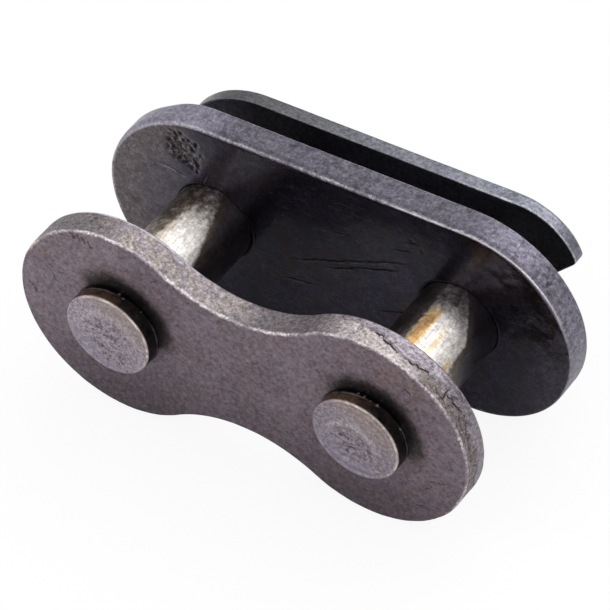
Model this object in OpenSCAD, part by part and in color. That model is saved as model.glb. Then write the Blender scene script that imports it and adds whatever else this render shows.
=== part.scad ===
// Spring-clip connecting link of a half-inch pitch roller chain, in millimetres.
// It stands on the long lower edge of its cover plate, with +Z up and +X along the chain.
// The pins run along Y: riveted plate at -Y, then the open bay, the loose cover plate, and
// the spring clip in the pin grooves at +Y. The origin is the bottom centre of the whole link.

/* [Chain] */
// Distance between the two pin axes
pitch = 12.7; // [11.5:0.1:16]
// Clear width between the plates when the cover plate is against the clip
bay_w = 7.95; // [6:0.05:12]

/* [Pin plate] */
// Thickness of the riveted plate
plate_t = 1.45; // [1:0.05:2.5]
// Radius of the plate's two lobes
lobe_r = 5.12; // [4.2:0.02:5.8]
// Height of the plate across its waist
waist_h = 6.5; // [4.5:0.1:8]

/* [Pins] */
// Diameter of the pins
pin_d = 3.97; // [3.2:0.01:4.2]
// Diameter of the riveted heads
head_d = 4.34; // [4.3:0.01:5.5]
// Height of the riveted heads above the plate
head_h = 0.78; // [0.4:0.02:1.2]
// Rounding of the heads' rims
head_edge = 0.12; // [0.02:0.02:0.3]
// Diameter of a pin at the bottom of its clip groove
groove_d = 3; // [2.4:0.05:3.1]
// Length of a pin's end beyond its clip groove
tail_l = 0.95; // [0.6:0.05:2]
// Cone at a pin's free end
tail_edge = 0.3; // [0.05:0.05:0.5]

/* [Cover plate] */
// Thickness of the loose cover plate
cover_t = 1.45; // [1:0.05:2.5]
// How far each round end reaches past its pin's axis
cover_reach = 5.625; // [5:0.005:6.5]
// Height of the cover plate
cover_h = 10.7; // [9:0.1:12.5]
// Rolled edge of the cover plate on the bay side
cover_roll = 0.34; // [0.1:0.02:0.6]
// Rounding of the cover plate's edge on the clip side
cover_edge = 0.1; // [0.02:0.02:0.3]
// Cone at both mouths of the pin holes
hole_edge = 0.12; // [0.02:0.02:0.3]
// How far the cover plate stands back from the clip
cover_back = 1.81; // [0.3:0.01:3]

/* [Spring clip] */
// Thickness of the clip
clip_t = 0.75; // [0.6:0.05:1.4]
// Height of the clip across its two legs
clip_h = 9.2; // [8:0.1:10.4]
// How far the closed end reaches past its pin's axis
clip_nose = 3.95; // [3:0.05:4.6]
// How far the leg tips reach past their pin's axis
clip_reach = 4.17; // [3.2:0.01:5]
// Rounding of the legs' outer corners
corner_r = 3.07; // [1.5:0.01:3.5]
// Width of the slot between the two pin seats
slot_w = 2.5; // [1.6:0.05:2.7]
// Width of the flared mouth at the leg tips
mouth_w = 5.1; // [3.5:0.05:6]

/* [Fits] */
// Radial clearance of the cover plate's holes on the pins
cover_fit = 0.05; // [0.02:0.01:0.09]
// Clearance round the clip in its grooves
clip_fit = 0.05; // [0.02:0.01:0.09]
// Gap left where a sliding piece meets its stop
stop_gap = 0.05; // [0.02:0.01:0.1]

/* [Hidden] */
$fn = 96;
pin_x = pitch / 2;
pin_r = pin_d / 2;
// The pin axes' height, with the taller plate standing on the ground
pin_z = max(cover_h / 2, lobe_r);
// Stations along the pins, counted from the outer face of the riveted heads
s_plate = head_h;
s_bay = s_plate + plate_t;
s_clip = s_bay + bay_w + cover_t + stop_gap;
s_groove = s_clip - clip_fit;
s_tail = s_groove + clip_t + 2 * clip_fit;
link_w = s_tail + tail_l;
s_cover = s_clip - cover_back - cover_t;
// Waist arcs, tangent to both lobes
waist_r = (pin_x * pin_x + waist_h * waist_h / 4 - lobe_r * lobe_r) / (2 * lobe_r - waist_h);
waist_z = waist_h / 2 + waist_r;
// Where a waist arc meets a lobe
meet_x = pin_x * waist_r / (lobe_r + waist_r);
meet_z = waist_z * lobe_r / (lobe_r + waist_r);
// Middle of each end arc of the cover plate
cover_x = pin_x + cover_reach - cover_h / 2;
// Middle of the clip's closed end, and of the rounding at each leg's outer corner
nose_x = clip_h / 2 - clip_nose - pin_x;
tip_x = pin_x + clip_reach;
corner_x = tip_x - corner_r;
corner_z = clip_h / 2 - corner_r;
// Overrun of a cut past the solid it opens
over = 1;

// Places children drawn from a station along +Z, with -Y up, into the link's own frame
module at_station(station) {
  translate([0, station - link_w / 2, pin_z]) rotate([-90, 0, 0]) children();
}

// Two of children(), one on each pin axis
module both_pins() {
  for (side = [-1, 1]) translate([side * pin_x, 0]) children();
}

// Half section of a disc, radius against depth, rounded by its own radius at each face
module rim_section(radius, depth, near_edge, far_edge) {
  square([radius - near_edge, depth / 2]);
  translate([0, depth / 2]) square([radius - far_edge, depth / 2]);
  translate([0, near_edge]) square([radius, depth - near_edge - far_edge]);
  translate([radius - near_edge, near_edge]) circle(near_edge);
  translate([radius - far_edge, depth - far_edge]) circle(far_edge);
}

// Two lobes joined by a waist whose arcs run smoothly into them, open at the pins
module pin_plate_outline() {
  difference() {
    union() {
      both_pins() circle(lobe_r);
      square([2 * meet_x, 2 * meet_z], center = true);
    }
    for (side = [-1, 1]) translate([0, side * waist_z]) circle(waist_r);
    both_pins() circle(pin_r);
  }
}

module pin_plate() {
  color([0.27, 0.25, 0.24]) at_station(s_plate) linear_extrude(plate_t) pin_plate_outline();
}

// Half section of a pin: radius against distance from the head's outer face
module pin_section() {
  square([head_d / 2 - head_edge, s_plate]);
  translate([0, head_edge]) square([head_d / 2, s_plate - head_edge]);
  translate([head_d / 2 - head_edge, head_edge]) circle(head_edge);
  square([pin_r, s_groove]);
  square([groove_d / 2, s_tail]);
  polygon([
    [0, s_tail],
    [pin_r, s_tail],
    [pin_r, link_w - tail_edge],
    [pin_r - tail_edge, link_w],
    [0, link_w],
  ]);
}

// Pin on the left (-1) or the right (1) axis
module pin(side) {
  color([0.62, 0.57, 0.5]) at_station(0) translate([side * pin_x, 0]) rotate_extrude() pin_section();
}

module pin_left() {
  pin(-1);
}

module pin_right() {
  pin(1);
}

// Bore of a pin hole with a cone at each mouth
module cover_hole() {
  hole_r = pin_r + cover_fit;
  translate([0, 0, -over]) cylinder(r = hole_r, h = cover_t + 2 * over);
  cylinder(r1 = hole_r + hole_edge, r2 = hole_r, h = hole_edge);
  translate([0, 0, cover_t - hole_edge]) cylinder(r1 = hole_r, r2 = hole_r + hole_edge, h = hole_edge);
}

// Round-ended plate: a rounded disc at each end, and their section drawn out between them
module cover_plate() {
  color([0.33, 0.32, 0.34]) at_station(s_cover) difference() {
    union() {
      for (side = [-1, 1]) translate([side * cover_x, 0]) rotate_extrude() cover_section();
      for (side = [0, 1]) mirror([0, side, 0]) translate([-cover_x, 0]) rotate([90, 0, 90])
        linear_extrude(2 * cover_x) cover_section();
    }
    both_pins() cover_hole();
  }
}

module cover_section() {
  rim_section(cover_h / 2, cover_t, cover_roll, cover_edge);
}

// Round closed end at -X, two legs with rounded outer corners at +X
module clip_outline() {
  translate([nose_x, 0]) circle(clip_h / 2);
  translate([nose_x, -clip_h / 2]) square([corner_x - nose_x, clip_h]);
  translate([corner_x, -corner_z]) square([corner_r, 2 * corner_z]);
  for (side = [-1, 1]) translate([corner_x, side * corner_z]) circle(corner_r);
}

// Slot from pin to pin, flared at 45 degrees past the open end's seat
module clip_slot() {
  throat_x = tip_x - (mouth_w - slot_w) / 2;
  translate([-pin_x, -slot_w / 2]) square([tip_x + pin_x + over, slot_w]);
  polygon([
    [throat_x, -slot_w / 2],
    [tip_x + over, -mouth_w / 2 - over],
    [tip_x + over, mouth_w / 2 + over],
    [throat_x, slot_w / 2],
  ]);
}

module spring_clip() {
  color([0.2, 0.22, 0.24]) at_station(s_clip) linear_extrude(clip_t) difference() {
    clip_outline();
    clip_slot();
    both_pins() circle(groove_d / 2 + clip_fit);
  }
}

pin_plate();
pin_left();
pin_right();
cover_plate();
spring_clip();
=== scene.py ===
"""Spring-clip connecting link of a half-inch pitch roller chain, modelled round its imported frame.

Five steel pieces replace the plain solids: the waisted pin plate, the two riveted pins, the loose
cover plate and the spring clip. Shapes are worked out in millimetres as numpy grids and written to
the meshes in metres. The pins run along Y, the chain along X, and Z is up.
"""

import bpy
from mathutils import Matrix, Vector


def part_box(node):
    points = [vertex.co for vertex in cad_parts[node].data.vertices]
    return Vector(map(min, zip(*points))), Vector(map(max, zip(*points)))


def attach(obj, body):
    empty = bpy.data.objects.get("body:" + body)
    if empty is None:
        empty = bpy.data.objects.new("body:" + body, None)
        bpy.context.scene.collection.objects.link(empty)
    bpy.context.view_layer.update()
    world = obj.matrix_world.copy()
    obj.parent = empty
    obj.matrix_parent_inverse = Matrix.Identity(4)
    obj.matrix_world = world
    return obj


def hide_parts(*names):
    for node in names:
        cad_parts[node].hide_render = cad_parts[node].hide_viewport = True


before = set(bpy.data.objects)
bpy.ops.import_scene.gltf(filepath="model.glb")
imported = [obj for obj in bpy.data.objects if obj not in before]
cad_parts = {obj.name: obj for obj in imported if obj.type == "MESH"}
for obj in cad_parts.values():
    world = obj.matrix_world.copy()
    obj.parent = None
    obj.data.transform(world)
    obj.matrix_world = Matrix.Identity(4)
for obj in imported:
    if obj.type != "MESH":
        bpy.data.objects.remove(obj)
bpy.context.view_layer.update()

import math

import bpy
import numpy as np
from bpy.props import FloatProperty, FloatVectorProperty, PointerProperty
from mathutils import Quaternion, Vector

bl_info = {
    "name": "Connecting Link",
    "version": (1, 0, 0),
    "blender": (4, 5, 0),
    "location": "3D View > Sidebar > Link",
    "description": "Builds a spring-clip connecting link of a roller chain, piece by piece",
    "category": "Add Mesh",
}

MM = 0.001
# The next seven are in millimetres. How deep the edge of a head's face lies below its box.
HEAD_SINK = 0.03
# the distance under which two points are one, and one that counts as far from every edge
WELD_STEP = 1e-4
FAR = 9.0
# how far from a hole a plate's relief fades in, and the rounding where its cone meets its wall
MOUTH_FADE = 0.3
CONE_FOOT = 0.02
# the clip groove's play beside the clip, and the chamfer at its lips
GROOVE_PLAY = 0.05
GROOVE_LIP = 0.04
# steps round a pin
PIN_STEPS = 256
# the clip's bend where its mouth starts to flare and its step along its outline, in millimetres, its
# rings on the edge and on each rounding, and the columns of its face that turn into the tip
MOUTH_BEND = 0.7
CLIP_STEP = 0.07
CLIP_RINGS = (9, 5)
TIP_COLUMNS = 12
# how many nicks, pits and chips the cover plate has
NICKS = 34
PITS = 110
CHIPS = 26
# half the side of the floor, in metres
FLOOR_REACH = 3.0


# ---------------------------------------------------------------- places taken from the frame


def box_mm(node):
    """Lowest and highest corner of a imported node, in millimetres."""
    low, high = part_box(node)
    return np.array(low) / MM, np.array(high) / MM


PLATE_LOW, PLATE_HIGH = box_mm("pin_plate")
COVER_LOW, COVER_HIGH = box_mm("cover_plate")
CLIP_LOW, CLIP_HIGH = box_mm("spring_clip")
PIN_LOW, PIN_HIGH = box_mm("pin_right")
PIN_X = (PIN_LOW[0] + PIN_HIGH[0]) / 2
PIN_Z = (PIN_LOW[2] + PIN_HIGH[2]) / 2
HEAD_R = (PIN_HIGH[0] - PIN_LOW[0]) / 2
LOBE_R = (PLATE_HIGH[2] - PLATE_LOW[2]) / 2
COVER_R = (COVER_HIGH[2] - COVER_LOW[2]) / 2
CLIP_R = (CLIP_HIGH[2] - CLIP_LOW[2]) / 2


# ---------------------------------------------------------------- numpy shapes


def blend(x, low, high):
    """Smooth step: 0 below low, 1 above high, and 3t^2 - 2t^3 of the share t between them."""
    t = np.clip((x - low) / (high - low), 0, 1)
    return t * t * (3 - 2 * t)


def hump(x, width):
    """Bell curve: e to the power of minus (x / width) squared."""
    return np.exp(-((x / width) ** 2))


def cloud(points, size, seed, octaves=3):
    """Value noise from -1 to 1: random numbers on the corners of a lattice of that size in
    millimetres, blended smoothly between the corners. Each octave halves the size and the weight."""
    table = np.random.default_rng(seed).uniform(-1, 1, (32, 32, 32))
    total = np.zeros(points.shape[:-1])
    for octave in range(octaves):
        p = points / size * 2**octave + 5.37 * (octave + 1)
        cell = np.floor(p).astype(int)
        t = p - cell
        t = t * t * (3 - 2 * t)
        for corner in np.ndindex(2, 2, 2):
            at = (cell + corner) % 32
            share = np.prod(np.where(corner, t, 1 - t), axis=-1)
            total += table[at[..., 0], at[..., 1], at[..., 2]] * share / 2**octave
    return total / (2 - 0.5 ** (octaves - 1))


def dents(points, centres, radii, depths):
    """Sum of round dents: each is its depth times the bell curve of the distance to its centre."""
    gap = np.linalg.norm(points[..., None, :] - centres, axis=-1)
    return (hump(gap, radii) * depths).sum(-1)


def arc_run(centre, radius, start, stop, count, hollow=False):
    """Points and outward normals along an arc: centre plus radius times (cos a, sin a), angles in
    radians. A hollow arc has its normals towards the centre. Rows are x, z, normal x, normal z."""
    angle = np.linspace(start, stop, count)
    way = np.stack([np.cos(angle), np.sin(angle)], -1)
    return np.hstack([np.array(centre) + radius * way, -way if hollow else way])


def line_run(start, stop, normal, count):
    """Points evenly along a straight line, all with one outward normal."""
    t = np.linspace(0, 1, count)[:, None]
    start, stop = np.array(start, float), np.array(stop, float)
    return np.hstack([start + (stop - start) * t, np.broadcast_to(normal, (count, 2))])


def join_runs(*runs):
    """One run from several, each starting where the last one stops; the doubled points are left out."""
    return np.vstack([runs[0]] + [run[1:] for run in runs[1:]])


def inset(run, depth):
    """The run's points moved inwards, against their normals, each by its own depth."""
    return run[:, :2] - depth[:, None] * run[:, 2:]


def edge_profile(thickness, front, back, wall_rings, round_rings):
    """Cross-section of a plate's edge, from the front face round to the back face. A quarter circle
    at each face and a straight wall between them; front and back are their radii at each point of
    the outline. Gives rings by points by four: inset, depth from the front face, and the shares of
    the outward and the front-to-back direction in the normal."""
    turn = np.linspace(0, math.pi / 2, round_rings)[:, None] + 0 * front
    out, along = np.sin(turn), np.cos(turn)
    near = np.stack([front * (1 - out), front * (1 - along), out, -along], -1)
    out, along = out[::-1], along[::-1]
    far = np.stack([back * (1 - out), thickness - back * (1 - along), out, along], -1)
    depth = front + (thickness - back - front) * np.linspace(0, 1, wall_rings)[:, None]
    wall = np.stack([0 * depth, depth, 1 + 0 * depth, 0 * depth], -1)
    return np.vstack([near[:-1], wall, far[1:]])


def edge_travel(profile):
    """Distance along each cross-section of an edge profile, from its first ring."""
    steps = np.hypot(*np.moveaxis(np.diff(profile[..., :2], axis=0), -1, 0))
    return np.vstack([0 * steps[:1], np.cumsum(steps, axis=0)])


def carry_profile(run, profile, mirror):
    """An edge profile carried along an outline: each ring is the outline moved in by the profile's
    inset. Gives the places in the outline's plane and the normals, mirrored by two factors."""
    rim = (run[:, :2] - profile[..., :1] * run[:, 2:]) * mirror
    out = profile[..., 2:3] * run[:, 2:] * mirror
    return rim, np.stack([out[..., 0], profile[..., 3], out[..., 1]], -1)


def grid_faces(rows, columns, closed):
    """Corner numbers of a grid's four-sided faces; closed joins the last column to the first."""
    row = np.arange(rows - 1)[:, None]
    column = np.arange(columns if closed else columns - 1)[None, :]
    beside = (column + 1) % columns
    corners = [row * columns + column, row * columns + beside]
    corners += [(row + 1) * columns + beside, (row + 1) * columns + column]
    return np.stack(corners, -1).reshape(-1, 4)


def patch(points, normals, closed=False, **values):
    """A grid surface with its outward normals and named values, its faces wound to match them."""
    normals = np.broadcast_to(normals, points.shape)
    faces = grid_faces(points.shape[0], points.shape[1], closed)
    flat, out = points.reshape(-1, 3), normals.reshape(-1, 3)
    a, b, c, d = (flat[faces[:, k]] for k in range(4))
    facing = np.einsum("ij,ij->i", np.cross(c - a, d - b), out[faces].mean(1)).sum()
    shape = points.shape[:-1]
    values = {name: np.broadcast_to(value, shape).reshape(-1) for name, value in values.items()}
    return {"points": flat, "faces": faces if facing > 0 else faces[:, ::-1], "values": values}


def weld(patches):
    """One closed surface from several patches. Points that share a place become one, and a face
    that loses a corner at a pole becomes a triangle."""
    points = np.vstack([p["points"] for p in patches])
    starts = np.cumsum([0] + [len(p["points"]) for p in patches[:-1]])
    faces = np.vstack([p["faces"] + start for p, start in zip(patches, starts)])
    names = sorted({name for p in patches for name in p["values"]})
    values = {
        name: np.concatenate([p["values"].get(name, np.zeros(len(p["points"]))) for p in patches])
        for name in names
    }
    keys = np.round(points / WELD_STEP + 0.137).astype(np.int64)
    first, number = np.unique(keys, axis=0, return_index=True, return_inverse=True)[1:]
    faces = number.reshape(-1)[faces]
    doubled = faces == np.roll(faces, -1, axis=1)
    whole = faces[doubled.sum(1) == 0]
    pinched, place = faces[doubled.sum(1) == 1], doubled[doubled.sum(1) == 1].argmax(1)
    keep = (place[:, None] + np.array([1, 2, 3])) % 4
    triangles = np.take_along_axis(pinched, keep, axis=1)
    return points[first], whole.tolist() + triangles.tolist(), {n: v[first] for n, v in values.items()}


def make_piece(name, patches, material, body, nodes):
    """Writes the welded patches to a mesh in metres, with its values as point attributes, and
    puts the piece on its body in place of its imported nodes."""
    points, faces, values = weld(patches)
    mesh = bpy.data.meshes.new(name)
    mesh.from_pydata((points * MM).tolist(), [], faces)
    for key, value in values.items():
        mesh.attributes.new(key, "FLOAT", "POINT").data.foreach_set("value", value.astype(np.float32))
    mesh.polygons.foreach_set("use_smooth", np.ones(len(mesh.polygons), bool))
    mesh.materials.append(material)
    mesh.validate()
    mesh.update()
    piece = bpy.data.objects.new(name, mesh)
    bpy.context.scene.collection.objects.link(piece)
    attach(piece, body)
    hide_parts(*nodes)
    return piece


# ---------------------------------------------------------------- plates with two pin holes


def face_fan(run, rounding, mouth, count, middle_points):
    """Half of a plate's face: a fan of straight lines from the mouth of the hole to the outline moved
    in by its rounding, or to the plate's middle line. The rows close up towards the mouth by a power
    law. Given with each point's distance to the outline, measured across it, and to the mouth."""
    rim_loop = inset(run, rounding)
    middle = line_run(rim_loop[-1], rim_loop[0], (0, 0), middle_points)[1:-1, :2]
    loop = np.vstack([rim_loop, middle])
    share = (1 - np.linspace(0, 1, count) ** 1.25)[:, None]
    reach = loop - mouth
    span = np.linalg.norm(reach, axis=-1)
    lean = np.abs(np.einsum("ij,ij->i", reach[: len(run)], run[:, 2:])) / span[: len(run)]
    inner = np.arange(len(loop)) >= len(rim_loop)
    across = span * (1 - share) * np.append(lean, np.ones(inner.sum()))
    return mouth + reach * share[..., None], np.where(inner, FAR, across), span * share


def half_surfaces(side, run, sizes):
    """The surfaces of half a plate, side 1 or -1 of its middle: the edge profile carried along the
    outline, both faces, and the wall of the hole with a cone at each mouth. Each comes as x, depth,
    z, normals, whether it closes on itself, and four measures: rim, how far its normal points out of
    the edge; near and far, the way to the corners of the edge; and mouth, the distance to the hole."""
    thickness, hole, cone = sizes["thickness"], sizes["hole"], sizes["cone"]
    half_round = sizes["round_rings"] // 2
    front, back = sizes["roll"](side, run)
    profile = edge_profile(thickness, front, back, sizes["wall_rings"], sizes["round_rings"])
    travel = edge_travel(profile)
    near_mid, far_mid = travel[half_round], travel[-1 - half_round]
    rim, normals = carry_profile(run, profile, (side, 1))
    edge = {"rim": profile[..., 2], "near": travel - near_mid, "far": far_mid - travel}
    yield rim[..., 0], profile[..., 1], rim[..., 1], normals, False, {**edge, "mouth": FAR}
    middle = line_run(run[-1, :2], run[0, :2], (0, 0), sizes["middle_points"])[1:-1, :2]
    outline = np.vstack([run[:, :2], middle])
    angle = np.arctan2(outline[:, 1], outline[:, 0] - PIN_X)
    mouth = (PIN_X, 0) + (hole + cone) * np.stack([np.cos(angle), np.sin(angle)], -1)
    for depth, rounding, facing, count, corner in (
        (0, front, -1, sizes["rows"][0], near_mid),
        (thickness, back, 1, sizes["rows"][1], travel[-1] - far_mid),
    ):
        fan, from_edge, from_mouth = face_fan(run, rounding, mouth, count, sizes["middle_points"])
        from_edge = from_edge + np.append(corner, np.zeros(len(middle)))
        far_off = np.full_like(from_edge, thickness + FAR)
        near, far = (-from_edge, far_off) if facing < 0 else (far_off, -from_edge)
        edge = {"rim": 0.0, "near": near, "far": far, "mouth": from_mouth}
        yield side * fan[..., 0], depth, fan[..., 1], (0, facing, 0), True, edge
    radii = np.array([cone, CONE_FOOT, 0.0, 0.0, CONE_FOOT, cone]) + hole
    depths = np.array([0, cone - CONE_FOOT, cone + CONE_FOOT])
    depths = np.append(depths, thickness - depths[::-1])
    x, z = PIN_X + radii[:, None] * np.cos(angle), radii[:, None] * np.sin(angle)
    inwards = np.stack([-side * np.cos(angle), 0 * angle, -np.sin(angle)], -1)
    edge = {"rim": 0.0, "near": FAR, "far": FAR, "mouth": 0.0}
    yield side * x, depths[:, None], z, inwards, True, edge


def plate_patches(run, sizes, relief):
    """Patches of a flat plate that is alike left and right, with a hole on each pin axis.

    run is the outline's right half. relief(points, normals, edge) gives how far each point lies below
    the true surface, which fades out at the mouths of the holes, and the piece's values.
    """
    patches = []
    for side in (1, -1):
        for x, y, z, normals, closed, edge in half_surfaces(side, run, sizes):
            points = np.stack(np.broadcast_arrays(x, sizes["front_y"] + y, PIN_Z + z), -1)
            normals = np.broadcast_to(normals, points.shape)
            depth, values = relief(points, normals, edge)
            depth = depth * blend(edge["mouth"], 0.0, MOUTH_FADE)
            moved = points - normals * depth[..., None]
            patches.append(patch(moved, normals, closed, **values))
    return patches


def even_roll(front, back):
    """The same rounding all round: the front and back radius at each point of the outline."""
    return lambda side, run: (np.full(len(run), front), np.full(len(run), back))


# the crisp part of the cover's rounded edge, and how much its upper left end is rolled over more at
# the back
CRISP_EDGE = 0.1
EXTRA_ROLL = 0.34


def cover_roll(front, back):
    """The cover's rounding: full along the top, crisp at the ends and below, and rolled over at the
    back on the upper left end. Each is set by how far the outline's normal points up."""

    def radii(side, run):
        up = run[:, 3]
        low, high = (0.15, 0.75) if side < 0 else (0.0, 0.7)
        rolled = blend(up, 0.2, 0.7) * (1 - blend(up, 0.86, 1.0)) * (side < 0)
        full = blend(up, low, high)
        return CRISP_EDGE + (front - CRISP_EDGE) * full, back + EXTRA_ROLL * rolled

    return radii


def waisted_outline(waist_height, step):
    """Right half of the pin plate's outline, from the bottom of the waist round the lobe to the top
    of the waist: a hollow arc, the lobe's arc and the hollow arc again, tangent to each other."""
    waist_r = (PIN_X**2 + waist_height**2 / 4 - LOBE_R**2) / (2 * LOBE_R - waist_height)
    waist_z = waist_height / 2 + waist_r
    meet = math.atan2(waist_z, -PIN_X)
    bend = math.pi - meet
    lobe_count, waist_count = int(2 * meet * LOBE_R / step), int((math.pi / 2 - bend) * waist_r / step)
    low = arc_run((0, -waist_z), waist_r, math.pi / 2, bend, waist_count, hollow=True)
    lobe = arc_run((PIN_X, 0), LOBE_R, -meet, meet, lobe_count)
    high = arc_run((0, waist_z), waist_r, -bend, -math.pi / 2, waist_count, hollow=True)
    return join_runs(low, lobe, high)


def round_ended_outline(step):
    """Right half of the cover plate's outline: the bottom edge, the round end and the top edge."""
    end_x = COVER_HIGH[0] - COVER_R
    straight, bend = int(end_x / step), int(math.pi * COVER_R / step)
    low = line_run((0, -COVER_R), (end_x, -COVER_R), (0, -1), straight)
    end = arc_run((end_x, 0), COVER_R, -math.pi / 2, math.pi / 2, bend)
    high = line_run((end_x, COVER_R), (0, COVER_R), (0, 1), straight)
    return join_runs(low, end, high)


# ---------------------------------------------------------------- shader node groups


class Wiring:
    """Adds shader nodes to one tree and joins them. Positions are in millimetres."""

    def __init__(self, tree):
        self.tree = tree

    def feed(self, socket, value):
        """Links a socket to value if that is an output, or sets it."""
        if isinstance(value, bpy.types.NodeSocket):
            self.tree.links.new(value, socket)
        else:
            socket.default_value = value

    def add(self, kind, inputs, out=0, **settings):
        """Adds a node, sets it, feeds its inputs by name or number, and gives one output."""
        node = self.tree.nodes.new("ShaderNode" + kind)
        for key, value in settings.items():
            setattr(node, key, value)
        for key, value in inputs.items():
            self.feed(node.inputs[key], value)
        return node.outputs[out]

    def effect(self, name, place, **inputs):
        """Puts a shared effect at a position and gives its outputs. An underscore in the name of an
        input stands for a space."""
        node = self.tree.nodes.new("ShaderNodeGroup")
        node.node_tree = shared_effect(name)
        for key, value in {"Position": place, **inputs}.items():
            self.feed(node.inputs[key.replace("_", " ")], value)
        return node.outputs

    def math(self, operation, a, b=0.0, clamp=False):
        """One sum of two numbers. The methods below name the common ones."""
        return self.add("Math", {0: a, 1: b}, operation=operation, use_clamp=clamp)

    def times(self, a, b):
        return self.math("MULTIPLY", a, b)

    def plus(self, a, b, clamp=False):
        return self.math("ADD", a, b, clamp)

    def minus(self, a, b):
        return self.math("SUBTRACT", a, b)

    def most(self, a, b, clamp=False):
        return self.math("MAXIMUM", a, b, clamp)

    def least(self, a, b):
        return self.math("MINIMUM", a, b)

    def absolute(self, a):
        return self.math("ABSOLUTE", a)

    def away(self, a, b):
        """How far a and b are apart."""
        return self.absolute(self.minus(a, b))

    def vector(self, operation, a, b):
        """One sum of two vectors, part by part."""
        return self.add("VectorMath", {0: a, 1: b}, operation=operation)

    def scaled(self, vector, share):
        """The vector times a number."""
        return self.add("VectorMath", {0: vector, "Scale": share}, operation="SCALE")

    def ramp(self, value, low, high, to_low=0.0, to_high=1.0):
        """Smooth step of value between low and high, drawn out to another range."""
        inputs = {0: value, 1: low, 2: high, 3: to_low, 4: to_high}
        return self.add("MapRange", inputs, interpolation_type="SMOOTHSTEP")

    def mix(self, share, a, b, blend_type="MIX"):
        """Colour a turned towards colour b by share."""
        settings = {"data_type": "RGBA", "blend_type": blend_type}
        return self.add("Mix", {0: share, 6: color(a), 7: color(b)}, out=2, **settings)

    def number_mix(self, share, a, b):
        """Number a turned towards number b by share."""
        return self.add("Mix", {0: share, 2: a, 3: b}, data_type="FLOAT")

    def noise(self, vector, scale, detail=3.0, roughness=0.55, distortion=0.0):
        """Cloudy noise from 0 to 1, with scale in clouds per millimetre."""
        inputs = {"Vector": vector, "Scale": scale, "Detail": detail}
        return self.add("TexNoise", {**inputs, "Roughness": roughness, "Distortion": distortion})

    def stretch(self, vector, scale, turn=(0, 0, 0)):
        """The vector turned and then scaled along each axis."""
        turned = self.add("Mapping", {"Vector": vector, "Rotation": turn}, vector_type="POINT")
        return self.vector("MULTIPLY", turned, scale)

    def value(self, name):
        """A point attribute of the piece."""
        return self.add("Attribute", {}, out="Fac", attribute_name=name, attribute_type="GEOMETRY")

    def position(self):
        """Object coordinates in millimetres."""
        place = self.add("TexCoord", {}, out="Object")
        return self.scaled(place, 1 / MM)

    def axis(self, vector, name):
        """One part of a vector: X, Y or Z."""
        return self.add("SeparateXYZ", {0: vector}, out=name)


def color(value):
    """A colour of three numbers with its alpha added; sockets pass through."""
    return value if isinstance(value, bpy.types.NodeSocket) else (*tuple(value)[:3], 1.0)


def shade(value, share):
    """A colour made darker or lighter by a share."""
    return tuple(min(1.0, part * share) for part in tuple(value)[:3])


def start_effect(name, inputs, outputs):
    """A new node group with named sockets, and its wiring, input sockets and output node."""
    group = bpy.data.node_groups.new(name, "ShaderNodeTree")
    kinds = {"v": "NodeSocketVector", "f": "NodeSocketFloat", "c": "NodeSocketColor"}
    for label, kind, default in inputs:
        socket = group.interface.new_socket(label, in_out="INPUT", socket_type=kinds[kind])
        if kind == "f":
            socket.default_value = default
    for label, kind in outputs:
        group.interface.new_socket(label, in_out="OUTPUT", socket_type=kinds[kind])
    entry, leave = group.nodes.new("NodeGroupInput"), group.nodes.new("NodeGroupOutput")
    return group, Wiring(group), entry.outputs, leave.inputs


def grain_effect():
    """Fine grain and broad blotches of heat-treated steel, each from 0 to 1, and the grain's height."""
    inputs = [("Position", "v", 0), ("Grain Scale", "f", 7.0), ("Blotch Scale", "f", 0.6)]
    outputs = [("Grain", "f"), ("Blotch", "f"), ("Height", "f")]
    group, w, given, out = start_effect("Steel Grain", inputs, outputs)
    coarse = w.noise(given["Position"], given["Grain Scale"], 2.0, 0.6)
    fine = w.noise(given["Position"], w.times(given["Grain Scale"], 2.0), 2.0, 0.6)
    both = w.number_mix(0.6, coarse, fine)
    blotch = w.noise(given["Position"], given["Blotch Scale"], 4.0, 0.6, 0.5)
    w.feed(out["Grain"], w.ramp(both, 0.4, 0.6))
    w.feed(out["Blotch"], w.ramp(blotch, 0.34, 0.66))
    w.feed(out["Height"], both)
    return group


def speckle_effect():
    """Fine salt-and-pepper grain: a colour times one plus Amount times a noise round zero."""
    inputs = [("Position", "v", 0), ("Color", "c", 0), ("Scale", "f", 5.0), ("Amount", "f", 1.0)]
    group, w, given, out = start_effect("Fine Speckle", inputs, [("Color", "c")])
    level = w.noise(given["Position"], given["Scale"], 2.5, 0.85)
    swing = w.times(w.minus(level, 0.5), given["Amount"])
    swing = w.most(w.plus(swing, 1.0), 0.12)
    w.feed(out["Color"], w.mix(1.0, given["Color"], swing, "MULTIPLY"))
    return group


def worn_edge_effect():
    """A bright line along an edge, of worn metal, and on the pin plate's head side partly a painted
    highlight: strongest on the edge itself, ragged, patchy and speckled.
    """
    inputs = [("Position", "v", 0), ("Distance", "f", 1.0)]
    inputs += [("Width", "f", 0.1), ("Raggedness", "f", 0.05)]
    group, w, given, out = start_effect("Worn Edge", inputs, [("Mask", "f")])
    place = given["Position"]
    ragged = w.times(w.minus(w.noise(place, 4.2, 3.0, 0.7), 0.5), 6.0)
    away = w.absolute(given["Distance"])
    away = w.plus(away, w.times(ragged, given["Raggedness"]))
    inside = w.ramp(away, given["Width"], w.times(given["Width"], 0.15))
    patchy = w.ramp(w.noise(place, 0.9, 2.0), 0.36, 0.6, 0.3, 1.0)
    speckled = w.ramp(w.noise(place, 7.5, 3.0, 0.75), 0.4, 0.6, 0.2, 1.0)
    w.feed(out["Mask"], w.times(w.times(inside, patchy), speckled))
    return group


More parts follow.
